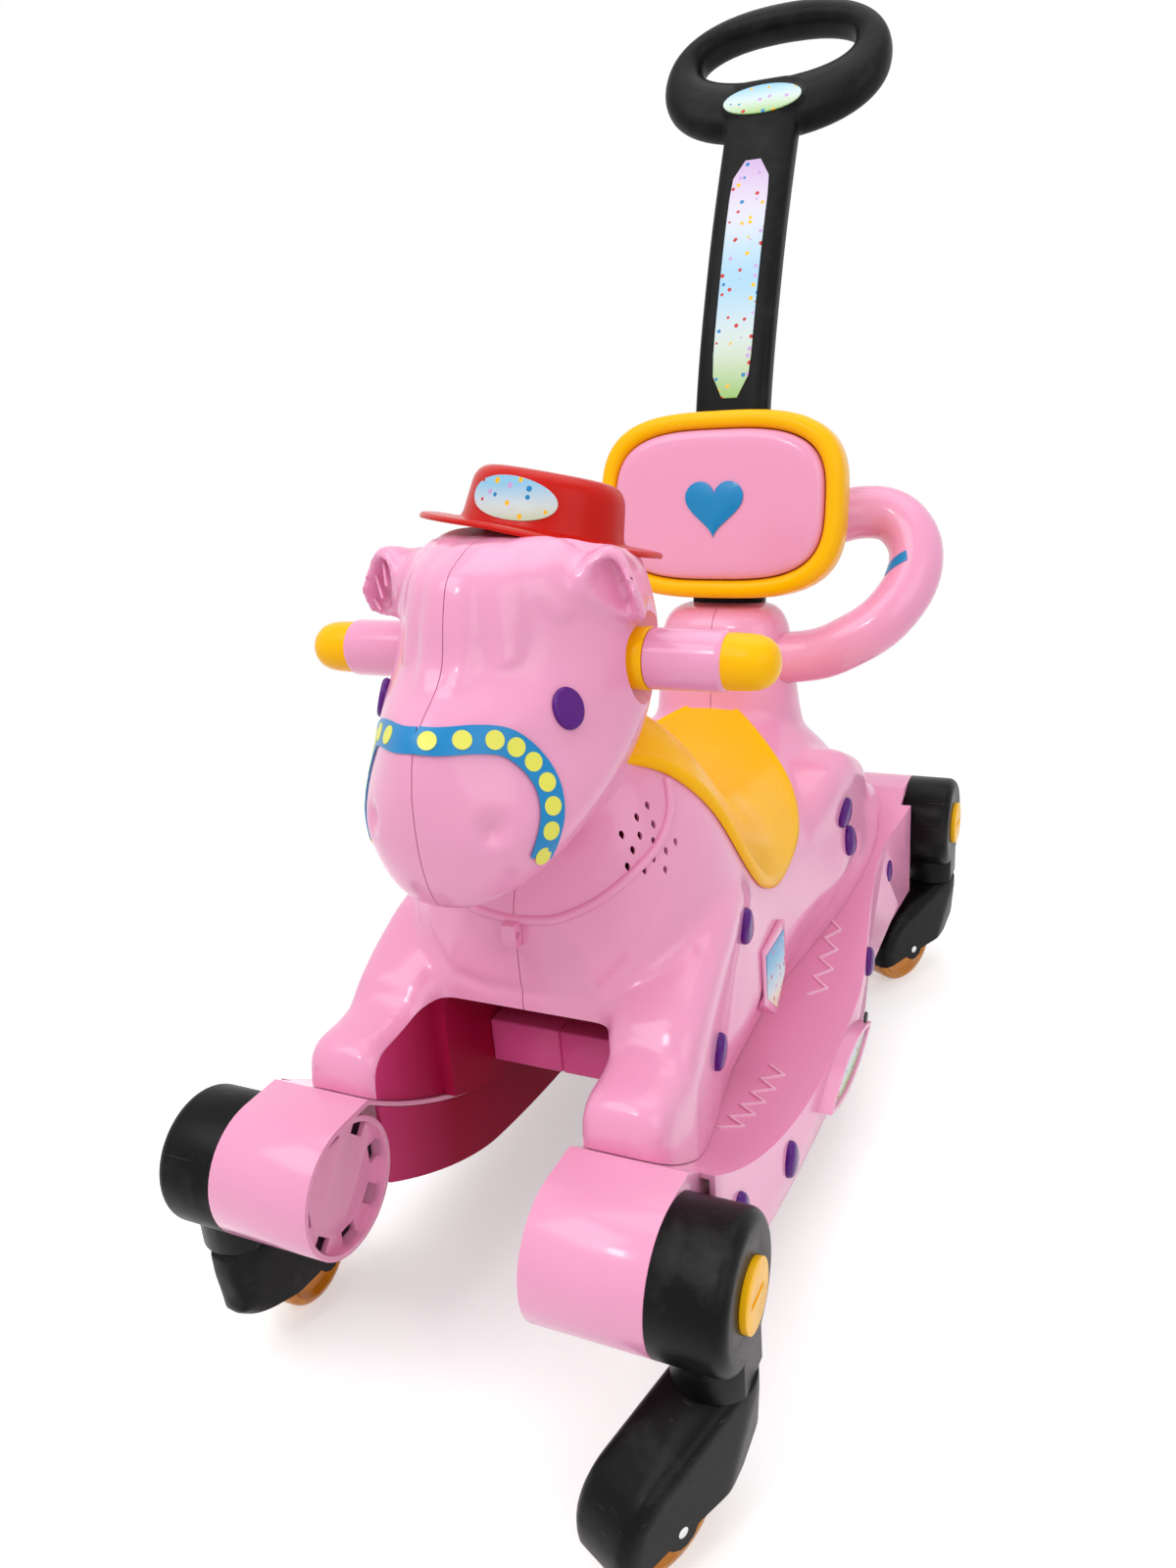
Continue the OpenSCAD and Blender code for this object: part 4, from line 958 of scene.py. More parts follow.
def patch(skin, centre, way, length, width):
    """A thin sticker on a surface, along a direction."""
    spot, normal = skin.nearest(centre)
    way = np.array(way, float) - normal * (normal @ np.array(way))
    way /= np.linalg.norm(way)
    side = np.cross(normal, way)
    rings = []
    for u in np.linspace(-0.5, 0.5, 14):
        row = [skin.nearest(spot + way * u * length + side * v * width) for v in np.linspace(-0.5, 0.5, 6)]
        rings.append([p + n * 0.1 for p, n in row] + [p + n * 0.5 for p, n in reversed(row)])
    return loft(rings)


class HORSE_OT_saddle(bpy.types.Operator):
    """Lays the saddle over the back"""

    bl_idname = "horse.saddle"
    bl_label = "Saddle"

    def execute(self, context):
        obj = softened(piece("saddle_skin", saddle_part()), 3)
        SKIN["saddle"] = Surface(obj)
        settle(smooth_shaded(obj, 60), yellow(), "horse", "saddle_yellow", "saddle")
        strip = patch(SKIN["saddle"], (62, -112, 314), (0.75, 0.55, 0.1), 22, 6)
        settle(piece("saddle_strip", strip), red(), "horse", "hat_red")
        return {"FINISHED"}


# Noseband and eyes

# Left half of the noseband: its turn from straight ahead, in degrees, and its height
BAND = [(0, 370), (10, 369), (23, 368), (35, 365), (43, 359), (49.5, 350), (52.6, 340), (52, 329), (49, 319),
        (45, 309)]
BAND_AXIS_Y = -190
EYE_AT, EYE_STRETCH = (58, -208, 374), 1.2
EYE_PROFILE = [(0, -0.6), (8.2, -0.6), (8.6, 0.6), (8.2, 2), (7.2, 2.6), (6.4, 2.4), (5.6, 2.5), (0, 3.1)]


def band_spots(count, from_share=0.0, to_share=1.0):
    """Places, normals and directions along the left half of the noseband."""
    path = along(BAND, 200)
    spots, normals = [], []
    for u in np.linspace(from_share, to_share, count):
        turn, z = path[int(round(u * 199))]
        a = math.radians(turn)
        spot, normal = SKIN["shell"].hit((0, BAND_AXIS_Y, z), (math.sin(a), -math.cos(a), 0))
        spots.append(spot)
        normals.append(normal)
    spots, normals = np.array(spots), np.array(normals)
    way = np.gradient(spots, axis=0)
    return spots, normals, way / np.linalg.norm(way, axis=1)[:, None]


def band_part(lift):
    """Half of the noseband as a thin strip on the skin."""
    half = sizes().band_width / MM / 2
    rings = []
    for p, n, t in zip(*band_spots(60)):
        side = np.cross(n, t)
        row = [SKIN["shell"].nearest(p + side * half * k) for k in (-1, -0.5, 0, 0.5, 1)]
        rings.append([q + m * lift for q, m in row] + [q + m * (lift + 0.7) for q, m in reversed(row)])
    return loft(rings)


def dot_tree():
    """Node tree that sets a flat dot on each point of a mesh, facing along its normal."""
    found = bpy.data.node_groups.get("dots_on_points")
    if found:
        return found
    takes = (("Geometry", "Geometry"), ("Radius", "Float", 4.5 * MM), ("Thickness", "Float", 0.8 * MM),
             ("Material", "Material"))
    gives = (("Geometry", "Geometry"),)
    tree, n, link, given, put = new_group("dots_on_points", "GeometryNodeTree", takes, gives)
    facing = add(n, "GeometryNodeInputNamedAttribute", {"Name": "facing"})
    facing.data_type = "FLOAT_VECTOR"
    disc = add(n, "GeometryNodeMeshCylinder", {"Vertices": 28})
    link(given.outputs["Radius"], disc.inputs["Radius"])
    link(given.outputs["Thickness"], disc.inputs["Depth"])
    turn = n.new("FunctionNodeAlignRotationToVector")
    turn.axis = "Z"
    link(facing.outputs["Attribute"], turn.inputs["Vector"])
    spread = n.new("GeometryNodeInstanceOnPoints")
    link(given.outputs["Geometry"], spread.inputs["Points"])
    link(disc.outputs["Mesh"], spread.inputs["Instance"])
    link(turn.outputs["Rotation"], spread.inputs["Rotation"])
    real = n.new("GeometryNodeRealizeInstances")
    link(spread.outputs["Instances"], real.inputs["Geometry"])
    coat = n.new("GeometryNodeSetMaterial")
    link(real.outputs["Geometry"], coat.inputs["Geometry"])
    link(given.outputs["Material"], coat.inputs["Material"])
    link(coat.outputs["Geometry"], put.inputs["Geometry"])
    return tree


def dots(name, spots, normals, radius, thickness, material):
    """Flat dots on a list of places, made by the dot tree."""
    mesh = bpy.data.meshes.new(name)
    mesh.from_pydata([tuple(p) for p in placed(spots)], [], [])
    facing = mesh.attributes.new("facing", "FLOAT_VECTOR", "POINT")
    facing.data.foreach_set("vector", np.array(normals, float).ravel())
    obj = stand(name, mesh)
    step = obj.modifiers.new("dots", "NODES")
    step.node_group = dot_tree()
    ids = {s.name: s.identifier for s in step.node_group.interface.items_tree if s.in_out == "INPUT"}
    for label, value in (("Radius", radius), ("Thickness", thickness), ("Material", material)):
        step[ids[label]] = value
    return smooth_shaded(baked(obj))


class HORSE_OT_face(bpy.types.Operator):
    """Adds the noseband with its dots and the eyes"""

    bl_idname = "horse.face"
    bl_label = "Face"

    def execute(self, context):
        left, right = band_part(0.9), mirrored(band_part(0.25))
        band = piece("noseband_film", joined([left, right]))
        settle(smooth_shaded(band), blue(), "horse", "band_blue", "noseband")
        spots, normals, _ = band_spots(9, 0.07, 0.97)
        both = np.vstack([spots + normals * 1.55, (spots[1:] + normals[1:] * 0.9) * (-1, 1, 1)])
        ways = np.vstack([normals, normals[1:] * (-1, 1, 1)])
        obj = dots("noseband_dots", both, ways, sizes().dot_radius, 0.35 * MM, lemon())
        settle(obj, None, "horse", "band_blue")
        for name, node, sign in (("eye_button_left", "eye_left", 1), ("eye_button_right", "eye_right", -1)):
            spot, normal = SKIN["shell"].nearest(np.array(EYE_AT) * (sign, 1, 1))
            part, faces = lathe(EYE_PROFILE, 48)
            side = np.cross((0, 0, 1.0), normal)
            side /= np.linalg.norm(side)
            high = np.cross(normal, side) * EYE_STRETCH
            points = spot + part[:, :1] * side + part[:, 1:2] * high + part[:, 2:] * normal
            settle(smooth_shaded(piece(name, (points, faces)), 60), purple(), "horse", "spot_purple", node)
        return {"FINISHED"}


# Films

WHITE = (0.85, 0.85, 0.85)


def pale_tones():
    """Green, white and sky blue, from the bottom up."""
    return colours().leaf, WHITE, colours().sky


def film(name, node, tones):
    """Printed film over one solid: soft bands of colour from the bottom up, with a few small dots."""
    low, high = (corner.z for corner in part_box(node))
    mat = plastic(name, colours().cream, 0.32, 0.04, 0.02, coat=0.1, scale=40, shine=0.3)
    n, link = mat.node_tree.nodes, mat.node_tree.links.new
    place, split = n.new("ShaderNodeTexCoord"), n.new("ShaderNodeSeparateXYZ")
    way = add(n, "ShaderNodeMapRange", {"From Min": low, "From Max": high})
    link(place.outputs["Object"], split.inputs[0])
    link(split.outputs["Z"], way.inputs["Value"])
    ground, dot_tones = n.new("ShaderNodeValToRGB"), n.new("ShaderNodeValToRGB")
    ground.color_ramp.interpolation = "B_SPLINE"
    stops(ground, tones, 1 / (len(tones) - 1))
    link(way.outputs["Result"], ground.inputs["Fac"])
    cells, pick = add(n, "ShaderNodeTexVoronoi", {"Scale": 150}), n.new("ShaderNodeSeparateColor")
    link(place.outputs["Object"], cells.inputs["Vector"])
    near = add(n, "ShaderNodeMath", {1: 0.24}, "LESS_THAN")
    link(cells.outputs["Distance"], near.inputs[0])
    link(cells.outputs["Color"], pick.inputs["Color"])
    dot_tones.color_ramp.interpolation = "CONSTANT"
    stops(dot_tones, (colours().red, colours().blue, colours().yellow, colours().lilac), 0.25)
    link(pick.outputs["Red"], dot_tones.inputs["Fac"])
    tint = mixed(n, link, near.outputs[0], ground.outputs["Color"], dot_tones.outputs["Color"])
    link(tint, n["Principled BSDF"].inputs["Base Color"])
    return mat


def stops(ramp, tones, step):
    """Sets evenly spaced colours on a ramp."""
    marks = ramp.color_ramp.elements
    for i, tone in enumerate(tones):
        mark = marks[i] if i < 2 else marks.new(i * step)
        mark.position = i * step
        mark.color = (*tone, 1)


# Spots on the shell and rockers

# Place and lean of each spot on the left of the shell, and shares along and up the rocker's outer wall
SHELL_SPOTS = [((99, -96, 212), 12), ((101, -156, 166), 8), ((103, 126, 195), -8), ((104, 134, 170), -10)]
ROCKER_SPOTS = [(-0.75, 0.6), (-0.43, 0.52), (0.43, 0.52), (0.75, 0.6)]
ROCKER_REACH, ROCKER_WALL_X, RUNNER_R = 283, 128, 916.7
# Half width and half height of a spot, and its dome: share of the outline and height
SPOT_W, SPOT_H = 8.6, 11.5
SPOT_DOME = [(1.0, -2.5), (1.0, 1.2), (0.97, 2.4), (0.88, 3.5), (0.7, 4.3), (0.4, 4.8), (0.08, 5.0)]


def spot_part(spot, normal, lean, skin=None):
    """A domed drop on a surface."""
    up = np.array((0, 0, 1.0)) - normal * normal[2]
    up /= np.linalg.norm(up)
    side = np.cross(up, normal)
    c, s = math.cos(math.radians(lean)), math.sin(math.radians(lean))
    side, up = side * c + up * s, up * c - side * s
    rings = []
    for share, high in SPOT_DOME:
        ring = []
        for a in np.linspace(0, 2 * math.pi, 40, endpoint=False):
            v = SPOT_H * math.sin(a)
            u = SPOT_W * power(math.cos(a), 0.9) * (1 - 0.16 * math.sin(a))
            p = spot + side * u * share + up * v * share
            if skin is not None:
                p = skin.nearest(p)[0]
            ring.append(p + normal * high)
        rings.append(ring)
    return loft(rings)


def rocker_edge(y):
    """Heights of the runner and the tray at a place along the rocker."""
    low = RUNNER_Z + RUNNER_R - math.sqrt(RUNNER_R ** 2 - y * y)
    return low, FLOOR_Z - math.sqrt(FLOOR_R ** 2 - y * y)


class HORSE_OT_spots(bpy.types.Operator):
    """Adds the raised spots"""

    bl_idname = "horse.spots"
    bl_label = "Spots"

    def execute(self, context):
        shell, rocker = [], []
        for centre, lean in SHELL_SPOTS:
            spot, normal = SKIN["shell"].nearest(centre)
            part = spot_part(spot, normal, lean, SKIN["shell"])
            shell += [part, mirrored(part)]
        for along_share, up_share in ROCKER_SPOTS:
            y = along_share * ROCKER_REACH
            low, high = rocker_edge(y)
            spot = np.array((ROCKER_WALL_X - through(DRAWN_IN, y), y, low + (high - low) * up_share))
            part = spot_part(spot, np.array((1.0, 0, 0)), 0)
            rocker += [part, mirrored(part)]
        for name, parts, node in (("shell_spots", shell, "body_spots"),
                                  ("rocker_drops", rocker, "rocker_spots")):
            obj = smooth_shaded(piece(name, joined(parts)), 60)
            settle(obj, purple(), "horse", "spot_purple", node)
        return {"FINISHED"}


# Rockers

DRUM_R = 37
INNER_X, INNER_THICK, INNER_REACH = 59.5, 2.5, 249
SIDE_DOT = (137.6, 36, 82)


def shade_inside(obj, side):
    """Gives the inner faces of a rocker, below its tray, the deep pink of painted shade."""
    obj.data.materials.append(painted_shade_pink())
    drums = [drawn(JOINTS[f"fold_{end}_{side}"]["pos_m"])[0] for end in ("front", "rear")]
    for face in obj.data.polygons:
        x, y, z = drawn(face.center)[0]
        in_drum = min(math.hypot(y - drum[1], z - drum[2]) for drum in drums) < DRUM_R + 2
        in_shade = face.normal.z < -0.3 or face.normal.x * x < 0
        if in_shade and math.hypot(y, FLOOR_Z - z) > FLOOR_R + 1 and abs(x) < 126.5 and not in_drum:
            face.material_index = 1


def show_ribs(obj):
    """Painted highlight on the tops of the tray ribs, and an even sheen on the curved tray floor round them.
    """
    obj.data.materials.append(plastic("pink_rib_highlight", colours().rib_highlight_pink, 0.45, 0.1, 0.1, scale=60, shine=0.25))
    normals = [(0, 0, 0)] * len(obj.data.loops)
    for face in obj.data.polygons:
        x, y, z = drawn(face.center)[0]
        depth = math.hypot(y, FLOOR_Z - z) - FLOOR_R
        out = Vector((0, -y, FLOOR_Z - z)).normalized()
        # Rib tops get the painted highlight.
        if -2.5 < depth < -0.25 and 80 < abs(x) < 112:
            face.material_index = 2
        elif abs(depth) < 0.6 and face.normal.dot(out) > 0.97:
            for loop in face.loop_indices:
                _, y, z = drawn(obj.data.vertices[obj.data.loops[loop].vertex_index].co)[0]
                normals[loop] = Vector((0, -y, FLOOR_Z - z)).normalized()
    obj.data.normals_split_custom_set(normals)
    return obj


# How far the outer wall of a rocker draws in towards the rear, and the part of its width that moves with it
DRAWN_IN = [(55, 0), (97, 4), (134, 10), (173, 15), (200, 16), (225, 9), (244, 0)]
DRAWN_FROM, DRAWN_OVER = 62, 66


def draw_in(obj):
    """Bends the rear of a rocker inwards, as the tray's edge runs."""
    for vertex in obj.data.vertices:
        x, y, z = drawn(vertex.co)[0]
        if abs(x) > DRAWN_FROM and DRAWN_IN[0][0] < y < DRAWN_IN[-1][0]:
            share = (abs(x) - DRAWN_FROM) / DRAWN_OVER
            vertex.co.x -= math.copysign(share * float(through(DRAWN_IN, y)), x) * MM
    return obj


def inset(plate):
    """Points and faces of a thin film on the largest face of a plate."""
    face = max(plate.data.polygons, key=lambda f: f.area * (f.normal.x * f.center.x > 0))
    points = np.array([plate.data.vertices[i].co[:] for i in face.vertices])
    points = points.mean(0) + (points - points.mean(0)) * 0.84
    out = np.array(face.normal[:])
    return loft([points + out * 0.02 * MM, points + out * 0.5 * MM])


def inner_wall():
    """Wall of the left rocker towards the middle, from the runner up to the tray."""
    rings = []
    for y in np.linspace(-INNER_REACH, INNER_REACH, 61):
        low, high = rocker_edge(y)
        low, high = low + 22 * (max(0, abs(y) - 140) / 100) ** 1.5, high - 3.5
        sides = (INNER_X, INNER_X + INNER_THICK)
        rings.append([(x, y, low) for x in sides] + [(x, y, high) for x in reversed(sides)])
    return loft(rings)


class HORSE_OT_rockers(bpy.types.Operator):
    """Rounds the rockers and adds the side films"""

    bl_idname = "horse.rockers"
    bl_label = "Rockers"

    def execute(self, context):
        for side in ("left", "right"):
            rocker = rounded_copy(f"rocker_{side}", 0.5 * MM, pink(), "shell_pink")
            shade_inside(rocker, side)
            draw_in(show_ribs(rocker))
            label = f"rocker_label_{side}"
            rounded_copy(label, 0, film(f"rocker_film_{side}", label, pale_tones()), "plate_pale")
            label = f"body_label_{side}"
            plate = rounded_copy(label, 1.0 * MM, pink(), "shell_pink")
            tones = (colours().yellow, WHITE, colours().sky, colours().blue)
            obj = piece(f"flank_film_{side}", inset(plate), to_frame=False)
            settle(obj, film(f"flank_print_{side}", label, tones), "horse", "plate_pale")
        spots = np.array(SIDE_DOT) * ((1, 1, 1), (-1, 1, 1))
        obj = dots("lens_dots", spots, [(1, 0, 0), (-1, 0, 0)], 4 * MM, 1.2 * MM, bar_black())
        settle(obj, None, "horse", "bar_black")
        # The rocker's inner walls take the deep pink painted shade.
        walls = joined([inner_wall(), mirrored(inner_wall())])
        settle(smooth_shaded(piece("rocker_inner_walls", walls)), painted_shade_pink(), "horse", "shell_pink")
        bar_pink = plastic("pink_bar", colours().hot_pink, 0.3, 0.06, 0.04, subsurface=0.1, shine=0.25)
        rounded_copy("cross_bar", 1.5 * MM, bar_pink, "shell_pink")
        return {"FINISHED"}


# Hat

HAT_AT, HAT_TILT = (-2, -114, 436), (-13, 10)
BRIM_W, BRIM_D, PEAK = 66, 57, 6
# Underside and foot of the crown: half width, half depth and height
HAT_UNDER, CROWN_FOOT = (40, 34, 1), [(48, 41.5, 3.2), (45, 38.6, 4.2), (44, 37.6, 7)]
# Edge of the brim: how far past its outline, and height
BRIM_EDGE = [(-3, 0.4), (-0.4, 0.2), (0, 1.6), (-1, 3.0), (-3, 3.2)]
CROWN_ROUND = 0.86
# Crown of the hat: height and half width
CROWN = [(15, 42.8), (23, 41.6), (26, 40.8), (29, 39), (31, 36.6), (32.4, 33), (33, 28), (33.1, 12),
         (33.1, 1)]


def hat_place(points):
    """Hat sizes as drawing sizes, with the hat's tilt."""
    pitch, roll = (math.radians(angle) for angle in HAT_TILT)
    turn = Matrix.Rotation(roll, 3, "Y") @ Matrix.Rotation(pitch, 3, "X")
    return np.array(points, float) @ np.array(turn).T + np.array(HAT_AT, float)


def oval_ring(w, d, z, count=96):
    """A flat oval."""
    return np.column_stack([outline(w, d, 2, count), np.full(count, z)])


def brim_ring(grow, z, count=96):
    """Outline of the brim with its peak towards the face."""
    a = np.linspace(0, 2 * np.pi, count, endpoint=False)
    peak = np.clip(-np.sin(a), 0, 1)
    drop = np.stack([0 * a, PEAK * peak ** 1.5, 2 * peak * np.abs(np.cos(a))], 1)
    return oval_ring(BRIM_W + grow, BRIM_D + grow, z, count) - drop


class HORSE_OT_hat(bpy.types.Operator):
    """Builds the hat with its oval film"""

    bl_idname = "horse.hat"
    bl_label = "Hat"

    def execute(self, context):
        rings = [oval_ring(*HAT_UNDER)] + [brim_ring(*row) for row in BRIM_EDGE]
        rings += [oval_ring(*row) for row in CROWN_FOOT]
        rings += [oval_ring(w, w * CROWN_ROUND, z) for z, w in CROWN]
        points, faces = loft(rings)
        obj = piece("hat_shell", (hat_place(points), faces))
        settle(smooth_shaded(obj, 50), red(), "horse", "hat_red", "hat")
        rows = []
        for share in (1.0, 0.98, 0.7, 0.4, 0.05):
            row = []
            for a in np.linspace(0, 2 * math.pi, 48, endpoint=False):
                u, z = -math.pi / 2 - 0.1 + 0.62 * share * math.cos(a), 17 + 11 * share * math.sin(a)
                w = 44.4 - 0.12 * z + (0.75 if share < 1 else 0.0)
                row.append((w * math.cos(u), w * CROWN_ROUND * math.sin(u), z))
            rows.append(row)
        points, faces = loft(rows)
        label = piece("hat_film", (hat_place(points), faces))
        material = film("hat_print", "hat_label", pale_tones())
        settle(smooth_shaded(label, 60), material, "horse", "plate_pale", "hat_label")
        return {"FINISHED"}


# Handlebar

# Turned profiles along the handlebar: radius and place from the middle
CAP = [(0.0, 109), (14, 109), (14.2, 112), (14, 120), (13.4, 125), (12, 129), (9.5, 132.2), (6, 134.2),
       (0.2, 135)]
GRIP = [(11.05, 69), (15, 69), (15.5, 69.6), (15.5, 106), (15.2, 108), (14.2, 109), (11.05, 109)]
GRIP_RING = [(11.05, 57), (15.2, 57), (16, 57.8), (16, 68), (15.6, 68.7), (11.05, 68.7)]


def turned_ring(profile, count=72):
    """Points and faces of a closed [radius, height] profile with a hole along its axis."""
    points, faces = lathe(profile, count)
    last = (len(profile) - 1) * count
    return points, faces[:-2] + [(last + j, last + (j + 1) % count, (j + 1) % count, j) for j in range(count)]


def bar_place(points, sign):
    """Turned sizes along the handlebar, towards one side."""
    points = np.array(points, float)
    return np.stack([points[:, 2] * sign, points[:, 0] + GRIP_Y, points[:, 1] + GRIP_Z], 1)


class HORSE_OT_handlebar(bpy.types.Operator):
    """Builds the rod, grips and domed caps"""

    bl_idname = "horse.handlebar"
    bl_label = "Handlebar"

    def execute(self, context):
        rounded_copy("handlebar", 0.6 * MM, yellow(), "saddle_yellow")
        for side, sign in (("left", 1), ("right", -1)):
            for name, part, angle, material, slot, nodes in (
                    ("grip_sleeve", turned_ring(GRIP), 38, pink(), "shell_pink", [f"grip_{side}"]),
                    ("grip_ring", turned_ring(GRIP_RING), 38, yellow(), "saddle_yellow", []),
                    ("cap_dome", lathe(CAP, 72), 50, yellow(), "saddle_yellow", [f"bar_cap_{side}"])):
                obj = piece(f"{name}_{side}", (bar_place(part[0], sign), part[1]))
                settle(smooth_shaded(obj, angle), material, "horse", slot, *nodes)
        return {"FINISHED"}


# Backrest, guard rails and push bar

REST_AT, REST_LEAN, REST_W, REST_H = (170, 411), 12, 93, 67
# Sections of the backrest's rim and pad: how far in from the outline, and how far forwards
REST_RIM = [(3, -13), (0.6, -11.5), (0, -9), (0, 4), (0.8, 8), (2.6, 11), (5.5, 12.6), (8.5, 12.6),
            (11, 11.2), (12.6, 8.6), (13, 4), (13, -9)]
REST_PAD = [(13.6, -8), (13.6, 8), (14.4, 11), (16.5, 12.9), (20, 13.7), (26, 13.9), (50, 13.9), (66, 13.9)]
RAIL_R = 19
RAIL = [(62, 196, 392), (92, 214, 398), (117, 217, 394), (134, 207, 376), (135, 190, 352), (119, 172, 328),
        (94, 164, 312), (70, 166, 302), (38, 168, 298)]
PUSH = [(0, 178, 250), (0, 184, 343), (0, 206, 470), (0, 247, 575), (0, 296, 665), (0, 320, 700)]
LOOP_AT, LOOP_LEAN = (336, 712), 38


def leaning(points, at, lean):
    """Sizes across, up and forwards of a leaning piece as drawing sizes."""
    u, v, w = np.array(points, float).T
    c, s = math.cos(math.radians(lean)), math.sin(math.radians(lean))
    return np.stack([u, at[0] - w * c + v * s, at[1] + w * s + v * c], 1)


def rest_ring(inward, w, count=120):
    """Outline of the backrest, drawn in and moved forwards."""
    return np.column_stack([outline(REST_W - inward, REST_H - inward, 3.2, count), np.full(count, w)])


def loop_part():
    """Loop handle: a closed tube between the outer outline and the hole's outline."""
    count, turns = 96, 25
    outer, inner = outline(88, 60, 2.2, count), outline(60, 24, 2.3, count) + (0, 14)
    rings = []
    for a in np.linspace(0, 2 * np.pi, turns, endpoint=False):
        share = (1 - power(np.cos(a), 0.8)) / 2
        flat = outer + (inner - outer) * share
        rings.append(np.column_stack([flat, np.full(count, 14 * power(np.sin(a), 0.85))]))
    rings.append(rings[0])
    points, faces = loft(rings, ends=False)
    return leaning(points, LOOP_AT, LOOP_LEAN), faces


class HORSE_OT_back(bpy.types.Operator):
    """Builds the backrest, guard rails and push bar"""

    bl_idname = "horse.back"
    bl_label = "Backrest and push bar"

    def execute(self, context):
        for name, table, material, slot, node in (
                ("backrest_rim", REST_RIM, yellow(), "saddle_yellow", "backrest_frame"),
                ("backrest_pad", REST_PAD, pink(), "shell_pink", "backrest_panel")):
            points, faces = loft([rest_ring(inward, w) for inward, w in table])
            obj = piece(name, (leaning(points, REST_AT, REST_LEAN), faces))
            settle(smooth_shaded(obj, 50), material, "horse", slot, node)
        rounded_copy("backrest_heart", 0.4 * MM, blue(), "band_blue", angle=60)
        for side, sign in (("left", 1), ("right", -1)):
            path = along(RAIL, 64) * (sign, 1, 1)
            obj = piece(f"rail_tube_{side}", sweep(path, outline(RAIL_R, RAIL_R, 2, 40), (0, 0, 1)))
            settle(smooth_shaded(obj, 60), pink(), "horse", "shell_pink", f"guard_rail_{side}")
            if side == "left":
                strip = patch(Surface(obj), (124, 182, 368), (1, 0.25, 0), 22, 8)
                settle(piece("rail_strip", strip), blue(), "horse", "band_blue")
        blade = sweep(along(PUSH, 70), outline(28, 10, 4, 64), (1, 0, 0))
        oval = outline(31, 14, 2, 48) + (0, -39.5)
        pad = loft([leaning(np.column_stack([oval, np.full(48, w)]), LOOP_AT, LOOP_LEAN) for w in (4, 15.3)])
        obj = piece("push_bar_form", joined([blade, loop_part(), pad]))
        blended(obj, 1.6 * MM, 4)
        settle(smooth_shaded(obj, 60), bar_black(), "horse", "bar_black", "push_bar")
        for node, name, tones in (
                ("push_bar_strip", "strip_print", (*pale_tones(), WHITE, colours().lilac)),
                ("push_bar_oval", "oval_print", pale_tones())):
            rounded_copy(node, 0, film(name, node, tones), "plate_pale")
        return {"FINISHED"}


# Legs

# Middle of a wheel in caster sizes, and half of its closed profile: radius and place along the axle
WHEEL_AT = (0, -43, 31)
WHEEL = [(3.1, -10), (6.5, -10), (7.4, -9.2), (9, -6.6), (12, -5.6), (21, -5.6), (24, -6.6), (25.6, -9.2),
         (26.6, -10), (29, -9.7), (30.6, -8), (31, -5)]
# Side view of what is cut away under a boot
SOLE = [(40, 35.5), (-34, 29), (-36.6, 24.6), (-41, 22.2), (-45, 22.2), (-49.4, 24.6), (-52, 27.4),
        (-100, 20.5), (-100, -20), (40, -20)]
# Heel tab of a boot: its place, and the height and half depth of its sections
TAB_Y, TAB_W = 12, 8.5
TAB = [(40, 8), (46, 8), (66, 10.5), (80, 10.5)]


def on_axle(part):
    """A turned part, with its axis along the wheel's axle."""
    points, faces = part
    return points[:, (2, 0, 1)] + WHEEL_AT, faces


def caster_place(leg, points):
    """Caster sizes, with the toe towards -y, as places in metres for one leg."""
    swivel, roll = (Vector(JOINTS[f"{kind}_{leg}"]["pos_m"]) for kind in ("swivel", "roll"))
    toe = (roll - swivel).to_2d().normalized()
    c, s = -toe.y, toe.x
    x, y, z = (np.array(points, float) * MM).T
    return np.stack([swivel.x + x * c - y * s, swivel.y + x * s + y * c, z], 1)


def boot_mesh():
    """Finished boot at the origin, in metres, with slot, sole and heel tab."""
    a = np.linspace(0, 2 * np.pi, 48, endpoint=False)
    cloud = [np.column_stack([19.5 * np.cos(a), 19.5 * np.sin(a), np.full(48, z)]) for z in (81.4, 72.4)]
    cloud.append(ball((0, 9, 45), (12, 12, 12), 18)[0])
    for x in (-11.5, 11.5):
        for turn in np.linspace(0, 2 * np.pi, 36, endpoint=False):
            spot = np.array(WHEEL_AT) + (x, 27 * math.cos(turn), 27 * math.sin(turn))
            cloud.append(ball(spot, (8, 8, 8), 10)[0])
    tab = loft([[(x, TAB_Y + y, z) for x, y in outline(TAB_W, depth, 4, 24)] for z, depth in TAB])
    points, faces = joined([hull_part(np.concatenate(cloud)), tab])
    obj = piece("boot", (points * MM, faces), to_frame=False)
    blended(obj, 1.5 * MM, 6)
    slot = on_axle(lathe([(0.01, -10.75), (32.5, -10.75), (32.5, 10.75), (0.01, 10.75)], 64))
    for points, faces in (slot, loft([[(x, y, z) for y, z in SOLE] for x in (-40, 40)])):
        cut(obj, piece("boot_cut", (points * MM, faces), to_frame=False))
    return obj


